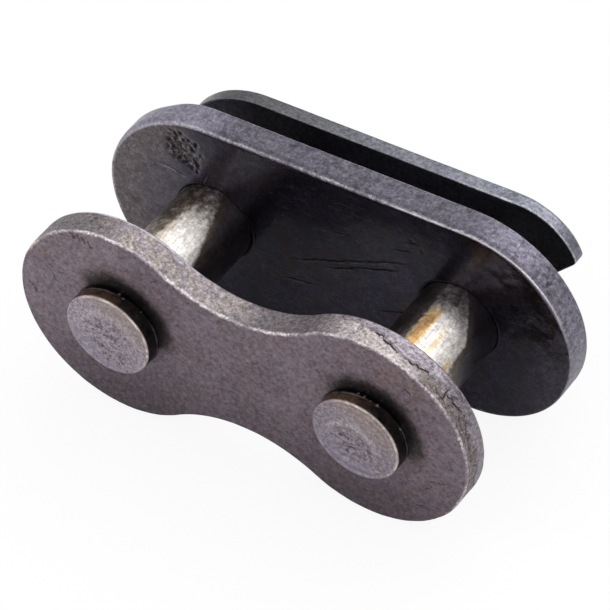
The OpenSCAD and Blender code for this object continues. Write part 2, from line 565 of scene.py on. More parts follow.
def scratch_effect():
    """Hairline scratches: the thin lines where a stretched noise crosses its middle, in patches."""
    inputs = [("Position", "v", 0), ("Scale", "f", 1.0), ("Amount", "f", 0.5), ("Line Width", "f", 0.02)]
    group, w, given, out = start_effect("Hairline Scratches", inputs, [("Mask", "f")])
    level = w.noise(given["Position"], given["Scale"], 1.5, 0.5, 0.3)
    line = w.ramp(w.away(level, 0.5), given["Line Width"], 0.0)
    patchy = w.noise(given["Position"], w.times(given["Scale"], 1.7), 2.0)
    floor_level = w.minus(0.72, w.times(given["Amount"], 0.3))
    shown = w.ramp(patchy, floor_level, w.plus(floor_level, 0.06))
    w.feed(out["Mask"], w.times(line, shown))
    return group


def pit_effect():
    """Small round pits: dots of random size at scattered points, only some of them kept."""
    inputs = [("Position", "v", 0), ("Scale", "f", 4.0), ("Share", "f", 0.3), ("Radius", "f", 0.3)]
    group, w, given, out = start_effect("Corrosion Pits", inputs, [("Mask", "f")])
    wobble = w.add("TexNoise", {"Vector": given["Position"], "Scale": 6.0}, out="Color")
    place = w.vector("ADD", given["Position"], w.scaled(wobble, 0.12))
    voronoi = w.tree.nodes.new("ShaderNodeTexVoronoi")
    w.feed(voronoi.inputs["Vector"], place)
    w.feed(voronoi.inputs["Scale"], given["Scale"])
    chance = w.add("SeparateColor", {0: voronoi.outputs["Color"]})
    kept = w.math("LESS_THAN", chance, given["Share"])
    dot = w.ramp(voronoi.outputs["Distance"], given["Radius"], w.times(given["Radius"], 0.3))
    w.feed(out["Mask"], w.times(dot, kept))
    return group


def score_effect():
    """One scored line in the plate's plane: 1 on the line and faded towards both ends."""
    inputs = [("Position", "v", 0), ("Centre", "v", 0), ("Angle", "f", 0.0)]
    inputs += [("Length", "f", 3.0), ("Line Width", "f", 0.05)]
    group, w, given, out = start_effect("Scored Line", inputs, [("Mask", "f")])
    away = w.vector("SUBTRACT", given["Position"], given["Centre"])
    turned = w.add("VectorRotate", {"Vector": away, "Angle": given["Angle"]}, rotation_type="Y_AXIS")
    across = w.absolute(w.axis(turned, "Z"))
    along = w.absolute(w.axis(turned, "X"))
    half = w.times(given["Length"], 0.5)
    line = w.ramp(across, given["Line Width"], 0.0)
    ends = w.ramp(along, half, w.times(half, 0.5))
    w.feed(out["Mask"], w.times(line, ends))
    return group


def painted_shade_effect():
    """Painted shade on steel, for dark reflections and shade: darkens a colour towards the shade's
    tint by Amount, with a mottled boundary.
    """
    inputs = [("Position", "v", 0), ("Color", "c", 0), ("Oil", "c", 0)]
    inputs += [("Amount", "f", 0.5), ("Mottle", "f", 1.0)]
    group, w, given, out = start_effect("Dried Oil", inputs, [("Color", "c"), ("Mask", "f")])
    mottle = w.minus(w.noise(given["Position"], 3.6, 5.0, 0.7, 0.5), 0.5)
    shifted = w.plus(given["Amount"], w.times(mottle, given["Mottle"]))
    mask = w.times(w.ramp(shifted, 0.2, 0.8), w.ramp(given["Amount"], 0.0, 0.12))
    tinted = w.mix(1.0, given["Color"], given["Oil"], "MULTIPLY")
    w.feed(out["Color"], w.mix(mask, given["Color"], tinted))
    w.feed(out["Mask"], mask)
    return group


def straw_reflection_effect():
    """Painted straw reflections laid over a colour, in the hues of temper colours: straw, then brown,
    then a little violet.
    """
    inputs = [("Position", "v", 0), ("Color", "c", 0), ("Heat", "f", 0.5)]
    group, w, given, out = start_effect("Straw Reflection", inputs, [("Color", "c")])
    wander = w.times(w.minus(w.noise(given["Position"], 2.2, 3.0), 0.5), 0.5)
    straw_share = w.plus(given["Heat"], wander, clamp=True)
    node = w.tree.nodes.new("ShaderNodeValToRGB")
    stops = [(0.0, (1, 1, 1, 1)), (0.3, (1, 0.9, 0.72, 1)), (0.6, (0.86, 0.58, 0.26, 1))]
    stops += [(0.8, (0.5, 0.3, 0.16, 1)), (1.0, (0.34, 0.24, 0.27, 1))]
    while len(node.color_ramp.elements) < len(stops):
        node.color_ramp.elements.new(0.5)
    for element, (place, tint) in zip(node.color_ramp.elements, stops):
        element.position, element.color = place, tint
    w.feed(node.inputs[0], straw_share)
    w.feed(out["Color"], w.mix(1.0, given["Color"], node.outputs["Color"], "MULTIPLY"))
    return group


EFFECT_MAKERS = {
    "grain": grain_effect,
    "speckle": speckle_effect,
    "worn": worn_edge_effect,
    "scratch": scratch_effect,
    "pits": pit_effect,
    "score": score_effect,
    "painted_shade": painted_shade_effect,
    "straw_reflection": straw_reflection_effect,
}
EFFECTS = {}


def shared_effect(name):
    """The shared node group of that name, made the first time it is asked for."""
    if name not in EFFECTS:
        EFFECTS[name] = EFFECT_MAKERS[name]()
    return EFFECTS[name]


def start_material(name, paint):
    """A material of bare steel, with the wiring of its tree and the inputs of its metal shader."""
    material = bpy.data.materials.new(name)
    material.use_nodes = True
    material.diffuse_color = color(paint)
    shader = material.node_tree.nodes["Principled BSDF"]
    shader.inputs["Metallic"].default_value = 1.0
    return material, Wiring(material.node_tree), shader.inputs


def finish_steel(w, shader, base, roughness, height, depth):
    """Feeds the steel's colour, roughness and bump; depth is the relief of height 1 in millimetres."""
    w.feed(shader["Base Color"], base)
    w.feed(shader["Roughness"], roughness)
    bump = {"Height": height, "Strength": 1.0, "Distance": depth * MM}
    w.feed(shader["Normal"], w.add("Bump", bump))


# ---------------------------------------------------------------- pin plate


# rusty patches on the pin plate's face: x and z from the middle, flatness, width and strength
RUST_PATCHES = (
    (8.3, 3.4, 1.2, 1.5, 1.0),
    (-9.0, 2.6, 1.0, 1.6, 0.7),
    (9.3, -2.6, 1.0, 1.3, 0.6),
)


def torn_edge(points, x, z, share, rim):
    """The pin plate's sheared edge, at a share of its thickness from the head side: where it is torn
    off, how gritty it is, and its cracks. The break line wanders; over the right lobe it opens into a
    crack, with a second one in front of it, one across, and fine splits between them."""
    level = points * [1, 0, 1]
    tear = blend(x, 3.6, 5.6) * blend(z, -3.2, -1.2)
    wander = 0.12 * cloud(level, 1.5, 11, 2) + 0.26 * (np.abs(cloud(level, 0.62, 12, 3)) - 0.25)
    wander = wander + 0.14 * (np.abs(cloud(level, 0.27, 35, 2)) - 0.25)
    break_line = 0.95 - (0.2 + 0.24 * blend(x, 6.2, 8.6)) * tear + wander * (0.15 + 0.85 * tear)
    torn = blend(break_line - share, -0.03, 0.06)
    opening = np.clip(0.7 + 1.1 * cloud(level, 0.55, 13, 2), 0.38, 1) * tear
    crack = hump(share - break_line + 0.02, 0.012 + 0.014 * opening) * opening
    front_line = 0.26 + 0.12 * cloud(level, 0.8, 34, 3)
    front_line = front_line + 0.1 * (np.abs(cloud(level, 0.3, 38, 2)) - 0.25)
    second = np.clip(0.6 + 1.4 * cloud(level, 0.7, 36, 2), 0.1, 1) * blend(x, 6.6, 8.4) * tear
    crack = np.maximum(crack, 0.85 * hump(share - front_line, 0.024) * second)
    across = hump(x - 10.15 - 0.12 * cloud(points, 0.5, 37, 2), 0.045) * blend(share, 0.2, 0.35)
    crack = np.maximum(crack, 0.9 * across * (1 - blend(share, 0.6, 0.75)) * tear)
    split = hump(cloud(points * (1, 0.3, 1), 0.55, 29, 2), 0.05) * tear * torn * blend(share, 0.1, 0.4)
    crack = np.maximum(crack, 0.5 * split) * blend(rim, 0.5, 0.95)
    return tear, torn, crack


def sheared_depth(points, x, tear, torn, crack):
    """Depth of the sheared edge: grit where it tore off, coarser over the torn lobe and calmer at the
    waist and both ends, the cracks, and slow waves."""
    calm = 1 - 0.65 * hump(x - 2.7, 1.9) - 0.6 * blend(-x, 8.6, 10.6) - 0.5 * blend(x, 9.6, 11.2)
    grit = 0.5 + 0.5 * cloud(points * (1, 0.75, 1), 0.4, 14)
    fracture = 0.5 + 0.5 * cloud(points * (1, 0.4, 1), 0.3, 18)
    depth = torn * calm * (0.05 * grit + 0.075 * tear * fracture) + 0.1 * crack
    depth = depth + 0.014 * tear * (1 - torn) * (1 + cloud(points, 0.5, 19, 2))
    return depth + 0.010 * (1 + cloud(points, 1.6, 15, 2))


def painted_shade_halo(points, x, z):
    """Share of painted shade on the face round each head: a ragged ring on its upper right side, where
    the head's shadow and dark reflection fall.
    """
    halo = np.zeros(x.shape)
    for pin_x in (-PIN_X, PIN_X):
        away = np.hypot(x - pin_x, z)
        facing = ((x - pin_x) * 0.47 + z * 0.88) / np.maximum(away, 0.1)
        reach = HEAD_R + 1.3 + 0.35 * cloud(points * [1, 0, 1], 0.9, 21, 3)
        ring = 1 - blend(away, HEAD_R + 0.05, reach)
        ring = ring * blend(facing, 0.12 if pin_x < 0 else -0.1, 0.6)
        halo = np.maximum(halo, ring * (0.62 + 0.38 * blend(x - pin_x, -1.4, 0.4)))
    return halo


def pin_plate_relief(points, normals, edge):
    """The blanked plate's relief: slow waves on its faces, the sheared edge, and small chips where
    the corner on the head side is worn. Depths add up."""
    shape = points.shape[:-1]
    rim, near, far = (np.broadcast_to(edge[key], shape) for key in ("rim", "near", "far"))
    share = (points[..., 1] - PLATE_LOW[1]) / (PLATE_HIGH[1] - PLATE_LOW[1])
    x, z = points[..., 0], points[..., 2] - PIN_Z
    tear, torn, crack = torn_edge(points, x, z, share, rim)
    edge_depth = sheared_depth(points, x, tear, torn, crack)
    face_depth = 0.005 * (1 + cloud(points, 2.4, 16, 2)) + 0.003 * (1 + cloud(points, 0.6, 20, 2))
    worn = np.maximum(blend(z, 1.8, 3.2), blend(x, 7.5, 9.5) * blend(z, -4.0, -2.4))
    chip = blend(cloud(points * [1, 0, 1], 0.3, 17, 2), 0.0, 0.6) * hump(near, 0.13) * 0.035 * worn
    depth = face_depth * (1 - rim) + edge_depth * rim + chip
    halo = painted_shade_halo(points, x, z) * (normals[..., 1] < -0.5)
    rust = sum(
        strength * hump(np.hypot(x - rust_x, (z - rust_z) * flat), width)
        for rust_x, rust_z, flat, width, strength in RUST_PATCHES
    )
    values = {"rim": rim, "near": near, "far": far, "torn": torn * rim, "tear": tear * rim}
    values = {**values, "crack": crack, "worn": worn, "halo": halo, "rust": np.clip(rust, 0, 1)}
    return depth, values


def pin_plate_face(w, place, settings, grain):
    """Colour of the plate's faces, and the mask of their scratches and scores: rusty blotches, a
    painted shade on the lower part, brushed streaks, and painted shade round the heads."""
    paint_color = settings.face_color
    face = w.mix(grain["Blotch"], shade(paint_color, 1.1), shade(paint_color, 0.95))
    rusty = w.ramp(w.noise(place, 0.9, 6.0, 0.72, 0.4), 0.4, 0.66)
    rust = w.times(rusty, w.ramp(w.value("rust"), 0.0, 1.0, 0.35, 1.0))
    face = w.mix(rust, face, settings.rust_color)
    # painted shade: the face darkens towards the bottom, near the floor
    face = w.mix(w.ramp(w.axis(place, "Z"), 5.5, 0.0, 0.0, 0.55), face, shade(paint_color, 0.36))
    brushed = w.noise(w.stretch(place, (1.0, 1.0, 3.2), (0, 0.75, 0)), 2.4, 3.0, 0.7)
    face = w.mix(w.ramp(brushed, 0.3, 0.6, 0.3, 0.0), face, shade(paint_color, 0.45))
    scratch = w.effect("scratch", w.stretch(place, (1.0, 1.0, 2.6), (0, 0.5, 0)))["Mask"]
    face = w.mix(w.times(scratch, 0.4), face, shade(paint_color, 0.35))
    scores = score_lines(w, place, PLATE_SCORES)
    face = w.mix(w.times(scores, 0.95), face, settings.score_color)
    # painted shade round each head: its shadow and dark reflection on the face, amber and then darker
    # near the head
    halo_shade = w.ramp(w.noise(place, 2.6, 4.0, 0.65), 0.3, 0.7, 0.75, 1.2)
    halo_shade = w.times(w.value("halo"), halo_shade)
    face = w.mix(w.ramp(halo_shade, 0.0, 0.6, 0.0, 0.85), face, settings.halo_shade_color)
    face = w.mix(w.ramp(halo_shade, 0.3, 0.75), face, settings.deep_halo_shade_color)
    face = w.effect("speckle", place, Color=face, Scale=4.6, Amount=2.1)["Color"]
    return face, w.most(scratch, scores)


def pin_plate_edge(w, place, settings, torn, mottle):
    """Colour of the sheared edge: a smooth strip and a gritty one, darker at both ends and in the
    waist, and fresh steel where the edge tore."""
    across = w.axis(place, "X")
    hue = w.ramp(w.noise(place, 1.3, 4.0, 0.7), 0.38, 0.62)
    gritty = w.mix(hue, settings.torn_color, settings.warm_torn_color)
    for share, tone in (
        (w.ramp(mottle, 0.34, 0.5, 0.6, 0.0), shade(settings.torn_color, 0.4)),
        (w.ramp(mottle, 0.5, 0.68, 0.0, 0.55), shade(settings.warm_torn_color, 1.8)),
        (w.ramp(across, -5.5, -7.5, 0.0, 0.6), shade(settings.torn_color, 0.5)),
    ):
        gritty = w.mix(share, gritty, tone)
    waist = w.times(w.ramp(across, -0.6, 1.2), w.ramp(across, 6.0, 4.4, 0.0, 0.7))
    gritty = w.mix(waist, gritty, shade(settings.torn_color, 0.55))
    burnished = settings.burnished_color
    lines = w.noise(w.stretch(place, (0.9, 7.0, 0.9)), 1.0, 3.0, 0.6)
    smooth = w.mix(w.ramp(lines, 0.35, 0.65), burnished, shade(burnished, 0.6))
    smooth = w.mix(w.ramp(mottle, 0.4, 0.6, 0.0, 0.4), smooth, shade(settings.torn_color, 1.6))
    side = w.mix(torn, smooth, gritty)
    ends = w.most(w.ramp(across, -8.2, -10.2), w.ramp(across, 9.4, 10.8))
    side = w.mix(w.times(ends, 0.4), side, shade(burnished, 0.5))
    ripped = w.times(w.value("tear"), torn)
    beyond = w.ramp(across, 8.3, 9.8)
    lit = w.ramp(w.noise(place, 3.4, 4.0, 0.75), 0.36, 0.56, 0.2, 0.62)
    lit = w.times(lit, w.minus(1.0, beyond))
    side = w.mix(w.times(ripped, lit), side, settings.fracture_color)
    broken = w.ramp(w.noise(place, 2.8, 4.0, 0.75), 0.42, 0.6, 0.1, 0.75)
    side = w.mix(w.times(w.times(ripped, beyond), broken), side, settings.dull_fracture_color)
    return w.effect("speckle", place, Color=side, Scale=6.0, Amount=3.2)["Color"]


def pin_plate_arrises(w, place, settings, base, mottle):
    """The plate's colour with bare metal along the edges on both sides; on the head side it is partly a
    painted highlight.
    """
    across, far = w.axis(place, "X"), w.value("far")
    # partly worn metal, partly a painted highlight along the head-side edge
    worn = w.effect("worn", place, Distance=w.value("near"), Width=0.15, Raggedness=0.045)["Mask"]
    worn = w.times(worn, w.times(w.value("worn"), w.ramp(across, 5.0, 8.0, 1.0, 0.6)))
    base = w.mix(worn, base, settings.worn_color)
    back = w.effect("worn", place, Distance=far, Width=0.14, Raggedness=0.03)["Mask"]
    base = w.mix(w.times(back, 0.75), base, settings.back_line_color)
    arris = w.times(w.ramp(w.away(far, 0.05), 0.07, 0.02), w.ramp(across, -2.2, -3.4))
    arris = w.times(arris, w.ramp(mottle, 0.36, 0.52, 0.35, 0.9))
    return w.mix(arris, base, settings.arris_color)


def pin_plate_steel(settings):
    """Dark heat-treated plate with a sandy grain, a paler gritty edge and a bright corner, worn and
    partly a painted highlight.
    """
    material, w, shader = start_material("plate_steel", settings.face_color)
    place = w.position()
    grain = w.effect("grain", place, Grain_Scale=5.5, Blotch_Scale=0.55)
    torn = w.value("torn")
    mottle = w.noise(place, 4.6, 5.0, 0.85)
    face, marks = pin_plate_face(w, place, settings, grain)
    side = pin_plate_edge(w, place, settings, torn, mottle)
    on_edge = w.ramp(w.value("rim"), 0.45, 0.9)
    base = pin_plate_arrises(w, place, settings, w.mix(on_edge, face, side), mottle)
    base = w.mix(w.ramp(w.value("crack"), 0.25, 0.8), base, settings.crack_color)
    rough = w.number_mix(grain["Blotch"], 0.42, 0.5)
    rough = w.number_mix(on_edge, rough, w.number_mix(torn, 0.38, 0.55))
    rough = w.number_mix(w.value("halo"), rough, 0.36)
    height = w.plus(grain["Height"], w.times(w.times(mottle, torn), 1.4))
    height = w.minus(height, w.times(marks, 0.7))
    finish_steel(w, shader, base, rough, height, 0.022)
    return material


def score_lines(w, place, lines, bent_by=0.7, faintest=0.25):
    """The mask of a table of scored lines. One noise bends them by bent_by millimetres at most, and
    another breaks them, down to the share faintest."""
    bend = w.add("TexNoise", {"Vector": place, "Scale": 1.1, "Detail": 3.0}, out="Color")
    bend = w.vector("SUBTRACT", bend, (0.5, 0.5, 0.5))
    bent = w.vector("ADD", place, w.scaled(bend, bent_by))
    mask = None
    for x, z, degrees, length, width in lines:
        given = {"Centre": (x, 0.0, z), "Angle": math.radians(degrees)}
        line = w.effect("score", bent, **given, Length=length, Line_Width=width)["Mask"]
        mask = line if mask is None else w.most(mask, line)
    return w.times(mask, w.ramp(w.noise(place, 3.1, 2.0), 0.38, 0.5, faintest, 1.0))


# scored lines in the plane of a plate: x, z, slope in degrees, length and width in millimetres
PLATE_SCORES = (
    (-8.5, 9.82, -58, 0.5, 0.07),
    (-8.24, 9.8, -52, 0.55, 0.07),
    (-7.97, 9.78, -60, 0.55, 0.08),
    (-7.7, 9.74, -54, 0.55, 0.08),
    (-7.42, 9.68, -58, 0.5, 0.07),
    (-10.9, 5.75, -34, 0.5, 0.09),
    (-10.72, 5.5, -38, 0.6, 0.1),
    (-9.6, 6.9, -60, 1.3, 0.06),
    (8.5, 8.7, -36, 0.9, 0.05),
    (9.2, 2.1, 3, 1.6, 0.05),
    (9.9, 3.9, 24, 1.3, 0.05),
    (9.3, 3.3, 50, 0.9, 0.04),
    (2.9, 1.9, 8, 1.4, 0.05),
)


# ---------------------------------------------------------------- pins


def pin_profile(settings):
    """Half section of a pin from the head's middle to the free end's middle. Straight runs and
    quarter circles, as rows of radius, height along the pin, and the normal's two parts. The last
    number of a straight run is its step in millimetres."""
    r, groove = settings.shank_diameter / MM / 2, settings.groove_diameter / MM / 2
    edge, tail, lip = settings.head_edge / MM, settings.tail_cone / MM, GROOVE_LIP
    y0, y1, y4 = PIN_LOW[1], PLATE_LOW[1], PIN_HIGH[1]
    y2, y3 = CLIP_LOW[1] - GROOVE_PLAY, CLIP_HIGH[1] + GROOVE_PLAY

    def straight(a, b, step):
        """Points at most a step apart, with the normal square to the line."""
        count = max(2, int(math.dist(a, b) / step) + 1)
        way = (np.array(b) - a) / math.dist(a, b)
        return line_run(a, b, (way[1], -way[0]), count)

    return [
        ("face", straight((0, y0), (HEAD_R - edge, y0), 0.045)),
        ("rim", arc_run((HEAD_R - edge, y0 + edge), edge, -math.pi / 2, 0, 6)),
        ("side", straight((HEAD_R, y0 + edge), (HEAD_R, y1), 0.09)),
        ("under", straight((HEAD_R, y1), (r, y1), 0.1)),
        ("shank", straight((r, y1), (r, y2 - lip), 0.09)),
        ("lip", straight((r, y2 - lip), (r - lip, y2), 0.03)),
        ("groove", straight((r - lip, y2), (groove, y2), 0.12)),
        ("floor", straight((groove, y2), (groove, y3), 0.12)),
        ("groove", straight((groove, y3), (r - lip, y3), 0.12)),
        ("lip", straight((r - lip, y3), (r, y3 + lip), 0.03)),
        ("tail", straight((r, y3 + lip), (r, y4 - tail), 0.09)),
        ("cone", straight((r, y4 - tail), (r - tail, y4), 0.06)),
        ("end", straight((r - tail, y4), (0, y4), 0.08)),
    ]


def head_face(points, away, radius, settings, punch):
    """Relief and values of a head's face: a shallow dome that is the cube of the radius, the punch's
    seat with its clusters of pits, faint turned arcs, grit, and a ridge on the seat's upper side."""
    edge = settings.head_edge / MM
    x, z = away
    off = np.hypot(x - punch["x"], z - punch["z"])
    seat = 1 - blend(off, punch["radius"] * 0.8, punch["radius"] * 1.15)
    clusters = sum(hump(np.hypot(x - a, (z - b) * 0.75), size) for a, b, size in punch["clusters"])
    grit = cloud(points, 0.22, punch["seed"], 2)
    pits = np.clip(clusters, 0, 1) * blend(cloud(points, 0.17, punch["seed"] + 1, 2), -0.05, 0.45)
    ridge = hump(off - 1.12 * punch["radius"], 0.2) * blend(z + 0.25 * x, -0.9, 0.7)
    arcs = np.sin(radius * 17 + 3 * cloud(points, 1.3, punch["seed"] + 2, 2)) * blend(radius, 1.0, 1.5)
    depth = 0.04 * (radius / HEAD_R) ** 3 + punch["depth"] * seat + 0.06 * pits
    depth = depth + punch["arcs"] * (1 + arcs) + (0.010 + 0.014 * seat) * (1 + grit) - 0.02 * ridge
    depth = np.maximum(depth, 0.002)
    depth = HEAD_SINK + (depth - HEAD_SINK) * blend(HEAD_R - edge - radius, 0.0, 0.12)
    lip = 1 - blend(HEAD_R - edge - radius, 0.0, 0.04)
    return depth, {"head": 1.0, "pit": pits, "ridge": ridge, "lip": lip, "seat": seat}


def head_wall(points, away, down, lean, settings, punch):
    """Relief and values of a head's rounded rim and its wall: the rim meets the sunken face, the wall
    is a little uneven, and small glints sit at its foot. down is the distance from the head's top, and
    lean the share of the normal along the pin."""
    edge = settings.head_edge / MM
    x, z = away
    share = blend(down, 0.0, edge)
    above_plate = PLATE_LOW[1] - points[..., 1]
    foot = blend(above_plate, 0.0, 0.15)
    depth = HEAD_SINK * (1 - share) * np.abs(lean)
    depth = depth + 0.012 * share * foot * (1 + cloud(points, 0.6, punch["seed"] + 4, 2))
    hidden = np.where(z >= 0, 0.0, FAR)
    glint = 0 * x
    for a, b, size in punch["glints"]:
        glint = glint + hump(np.hypot(x - a, b - above_plate) + hidden, size)
    lip = 1 - blend(down, edge * 0.2, edge * 0.6) + 0 * x
    return depth, {"head": 1.0, "pit": 0.0, "ridge": glint, "lip": lip, "seat": 0.0}


def pin_patches(centre_x, settings, punch):
    """A pin turned about its axis: the half section carried round in equal steps. punch holds the
    marks of its head."""
    turn = np.linspace(0, 2 * math.pi, PIN_STEPS, endpoint=False)
    around = np.stack([np.cos(turn), np.sin(turn)], -1)
    plain = {"head": 0.0, "pit": 0.0, "ridge": 0.0, "lip": 0.0, "seat": 0.0}
    patches = []
    for zone, run in pin_profile(settings):
        radius, along, out, lean = (run[:, k, None] for k in range(4))
        x, z = centre_x + radius * around[:, 0], PIN_Z + radius * around[:, 1]
        points = np.stack(np.broadcast_arrays(x, along, z), -1)
        normals = np.stack(np.broadcast_arrays(out * around[:, 0], lean, out * around[:, 1]), -1)
        away = x - centre_x, z - PIN_Z
        depth, values = 0 * x, plain
        if zone == "shank":
            inner = blend(along - along[0], 0.0, 0.3) * blend(along[-1] - along, 0.0, 0.2)
            depth = 0.0015 * inner * (1 + cloud(points, 0.8, punch["seed"] + 5, 2))
        elif zone == "face":
            depth, values = head_face(points, away, np.hypot(*away), settings, punch)
        elif zone in ("rim", "side"):
            depth, values = head_wall(points, away, along - PIN_LOW[1], lean, settings, punch)
        patches.append(patch(points - normals * depth[..., None], normals, True, **values))
    return patches


# The marks of each head, in millimetres from the pin's axis. x, z, radius and depth: the punched seat.
# seed: its random draws. arcs: depth of the faint turned arcs. clusters: pits as x, z and size. glints:
# bright spots at the head's foot as x, height above the plate and size.
PUNCHES = {
    "left": {
        "x": 0.0,
        "z": -0.45,
        "radius": 1.4,
        "depth": 0.012,
        "seed": 41,
        "arcs": 0.006,
        "clusters": (
            (-0.6, -0.2, 0.6),
            (0.3, -0.3, 0.65),
            (-0.2, -1.0, 0.6),
            (0.65, -0.9, 0.5),
            (0.1, 0.5, 0.6),
        ),
        "glints": ((0.42, 0.1, 0.06), (0.68, 0.17, 0.045), (1.5, 0.08, 0.03)),
    },
    "right": {
        "x": -0.25,
        "z": -0.45,
        "radius": 1.05,
        "depth": 0.04,
        "seed": 51,
        "arcs": 0.013,
        "clusters": (
            (-0.7, -0.4, 0.42),
            (-0.6, -0.85, 0.35),
            (0.6, -0.6, 0.36),
            (-0.15, -0.8, 0.3),
        ),
        "glints": (
            (-0.12, 0.1, 0.05),
            (0.2, 0.14, 0.06),
            (0.52, 0.2, 0.03),
            (0.85, 0.16, 0.07),
            (1.9, 0.1, 0.04),
        ),
    },
}
# The finish of each pin, angles in degrees round its axis. The bright wedge lies between right and
# left, which change by their slopes per millimetre along the pin, the right one also by right_bend
# near the cover. Outside it the shank has painted shade, for the dark reflections on its flanks and
# the shade before the cover. fuzz and soft: how far it fades in past either. right_shade,
# left_shade, foot_shade: its amount. end, end_reach, end_shade: where the pin is painted darker
# before the cover, and how much. flank and foot_flank: share of flank_color, more painted shade,
# below the wedge. bands: straw bands, painted reflections, as angle, half width, end and strength.
# painted_shade: its tint. head: the head's brightness. mottle, lip, ridge, pit: strength of those
# marks, of which lip and ridge are painted highlights. rough: roughness of the bare shank.
FINISHES = {
    "left": {
        "x": -PIN_X,
        "right": 54.5,
        "right_slope": 9.2,
        "right_bend": 0.0,
        "left": 86.0,
        "left_slope": -6.9,
        "fuzz": (-12.0, 10.0),
        "soft": (-13.0, 15.0),
        "right_shade": 1.3,
        "left_shade": 0.7,
        "foot_shade": 1.3,
        "end": 0.6,
        "end_reach": 3.4,
        "end_shade": 0.62,
        "flank": 0.6,
        "foot_flank": 0.6,
        "flank_color": (0.11, 0.1, 0.125),
        "bands": ((100.0, 18.0, 1.2, 0.14),),
        "painted_shade": (0.2, 0.166, 0.145),
        "head": 1.0,
        "mottle": 0.5,
        "lip": 0.62,
        "ridge": 0.35,
        "pit": 0.5,
        "rough": 0.46,
    },
    "right": {
        "x": PIN_X,
        "right": 31.0,
        "right_slope": 0.5,
        "right_bend": 20.0,
        "left": 96.0,
        "left_slope": 0.0,
        "fuzz": (-6.0, 8.0),
        "soft": (-10.0, 13.0),
        "right_shade": 1.15,
        "left_shade": 0.95,
        "foot_shade": 0.42,
        "end": 0.2,
        "end_reach": 1.6,
        "end_shade": 0.62,
        "flank": 0.85,
        "foot_flank": 0.0,
        "flank_color": (0.05, 0.045, 0.058),
        "bands": ((89.0, 13.0, -0.1, 0.72), (63.0, 6.0, -0.9, 0.4), (33.0, 6.0, -1.8, 0.6)),
        "painted_shade": (0.17, 0.146, 0.138),
        "head": 0.84,
        "mottle": 0.55,
        "lip": 0.6,
        "ridge": 0.8,
        "pit": 0.75,
        "rough": 0.36,
    },
}


def pin_shank(w, place, y, turn, mottle, settings, finish):
    """The shank's own steel, mottled and finely streaked along its length, with straw bands that are
    painted reflections.
    """
    paint_color = settings.shank_color
    streaks = w.noise(w.stretch(place, (6.0, 0.8, 6.0)), 1.0, 3.0, 0.65)
    dull = w.ramp(mottle, 0.32, 0.56, finish["mottle"], 0.0)
    shank = w.mix(dull, paint_color, shade(paint_color, 0.4))
    shank = w.mix(w.ramp(streaks, 0.32, 0.62, 0.5, 0.0), shank, shade(paint_color, 0.45))
    straw_share = 0.0
    for middle, width, fade_y, amount in finish["bands"]:
        inner = width * 0.3
        band = w.times(
            w.ramp(turn, middle - width, middle - inner),
            w.ramp(turn, middle + width, middle + inner),
        )
        band = w.times(band, w.ramp(y, fade_y + 0.8, fade_y - 0.4, 0.0, amount))
        straw_share = w.most(straw_share, band)
    return w.effect("straw_reflection", place, Color=shank, Heat=straw_share)["Color"]


def shaded_shank(w, place, y, turn, shank, settings, finish):
    """The shank's colour with painted shade outside its bright wedge and before the cover, for dark
    reflections and shade, and the mask of that shade.
    """
    right = w.math("MULTIPLY_ADD", y, finish["right_slope"])
    right.node.inputs[2].default_value = finish["right"]
    bend = w.times(w.most(w.plus(y, 0.5), 0.0), finish["right_bend"])
    right = w.plus(right, bend)
    left = w.math("MULTIPLY_ADD", y, finish["left_slope"])
    left.node.inputs[2].default_value = finish["left"]
    # painted shade outside the bright wedge: dark reflections on the flanks and shade before the cover
    past_right, past_left = w.minus(right, turn), w.minus(turn, left)
    right_shade = w.ramp(y, -2.6, -1.2, finish["foot_shade"], finish["right_shade"])
    right_flank = w.times(w.ramp(past_right, *finish["fuzz"]), right_shade)
    left_flank = w.ramp(past_left, *finish["soft"], 0.0, finish["left_shade"])
    end = finish["end"]
    deep = w.ramp(y, end - finish["end_reach"], end + 0.9, 0.0, finish["end_shade"])
    amount = w.most(w.most(right_flank, left_flank), deep)
    stain_and_shade = {"Color": shank, "Oil": color(finish["painted_shade"]), "Amount": amount, "Mottle": 1.1}
    shaded = w.effect("painted_shade", place, **stain_and_shade)
    # more painted shade below the wedge, in flank_color
    flank = w.ramp(y, -2.4, -0.8, finish["foot_flank"], finish["flank"])
    flank = w.times(w.ramp(past_right, 2.0, 20.0), flank)
    shank = w.mix(flank, shaded["Color"], finish["flank_color"])
    shank = w.effect("speckle", place, Color=shank, Scale=5.0, Amount=1.5)["Color"]
    return shank, shaded["Mask"]


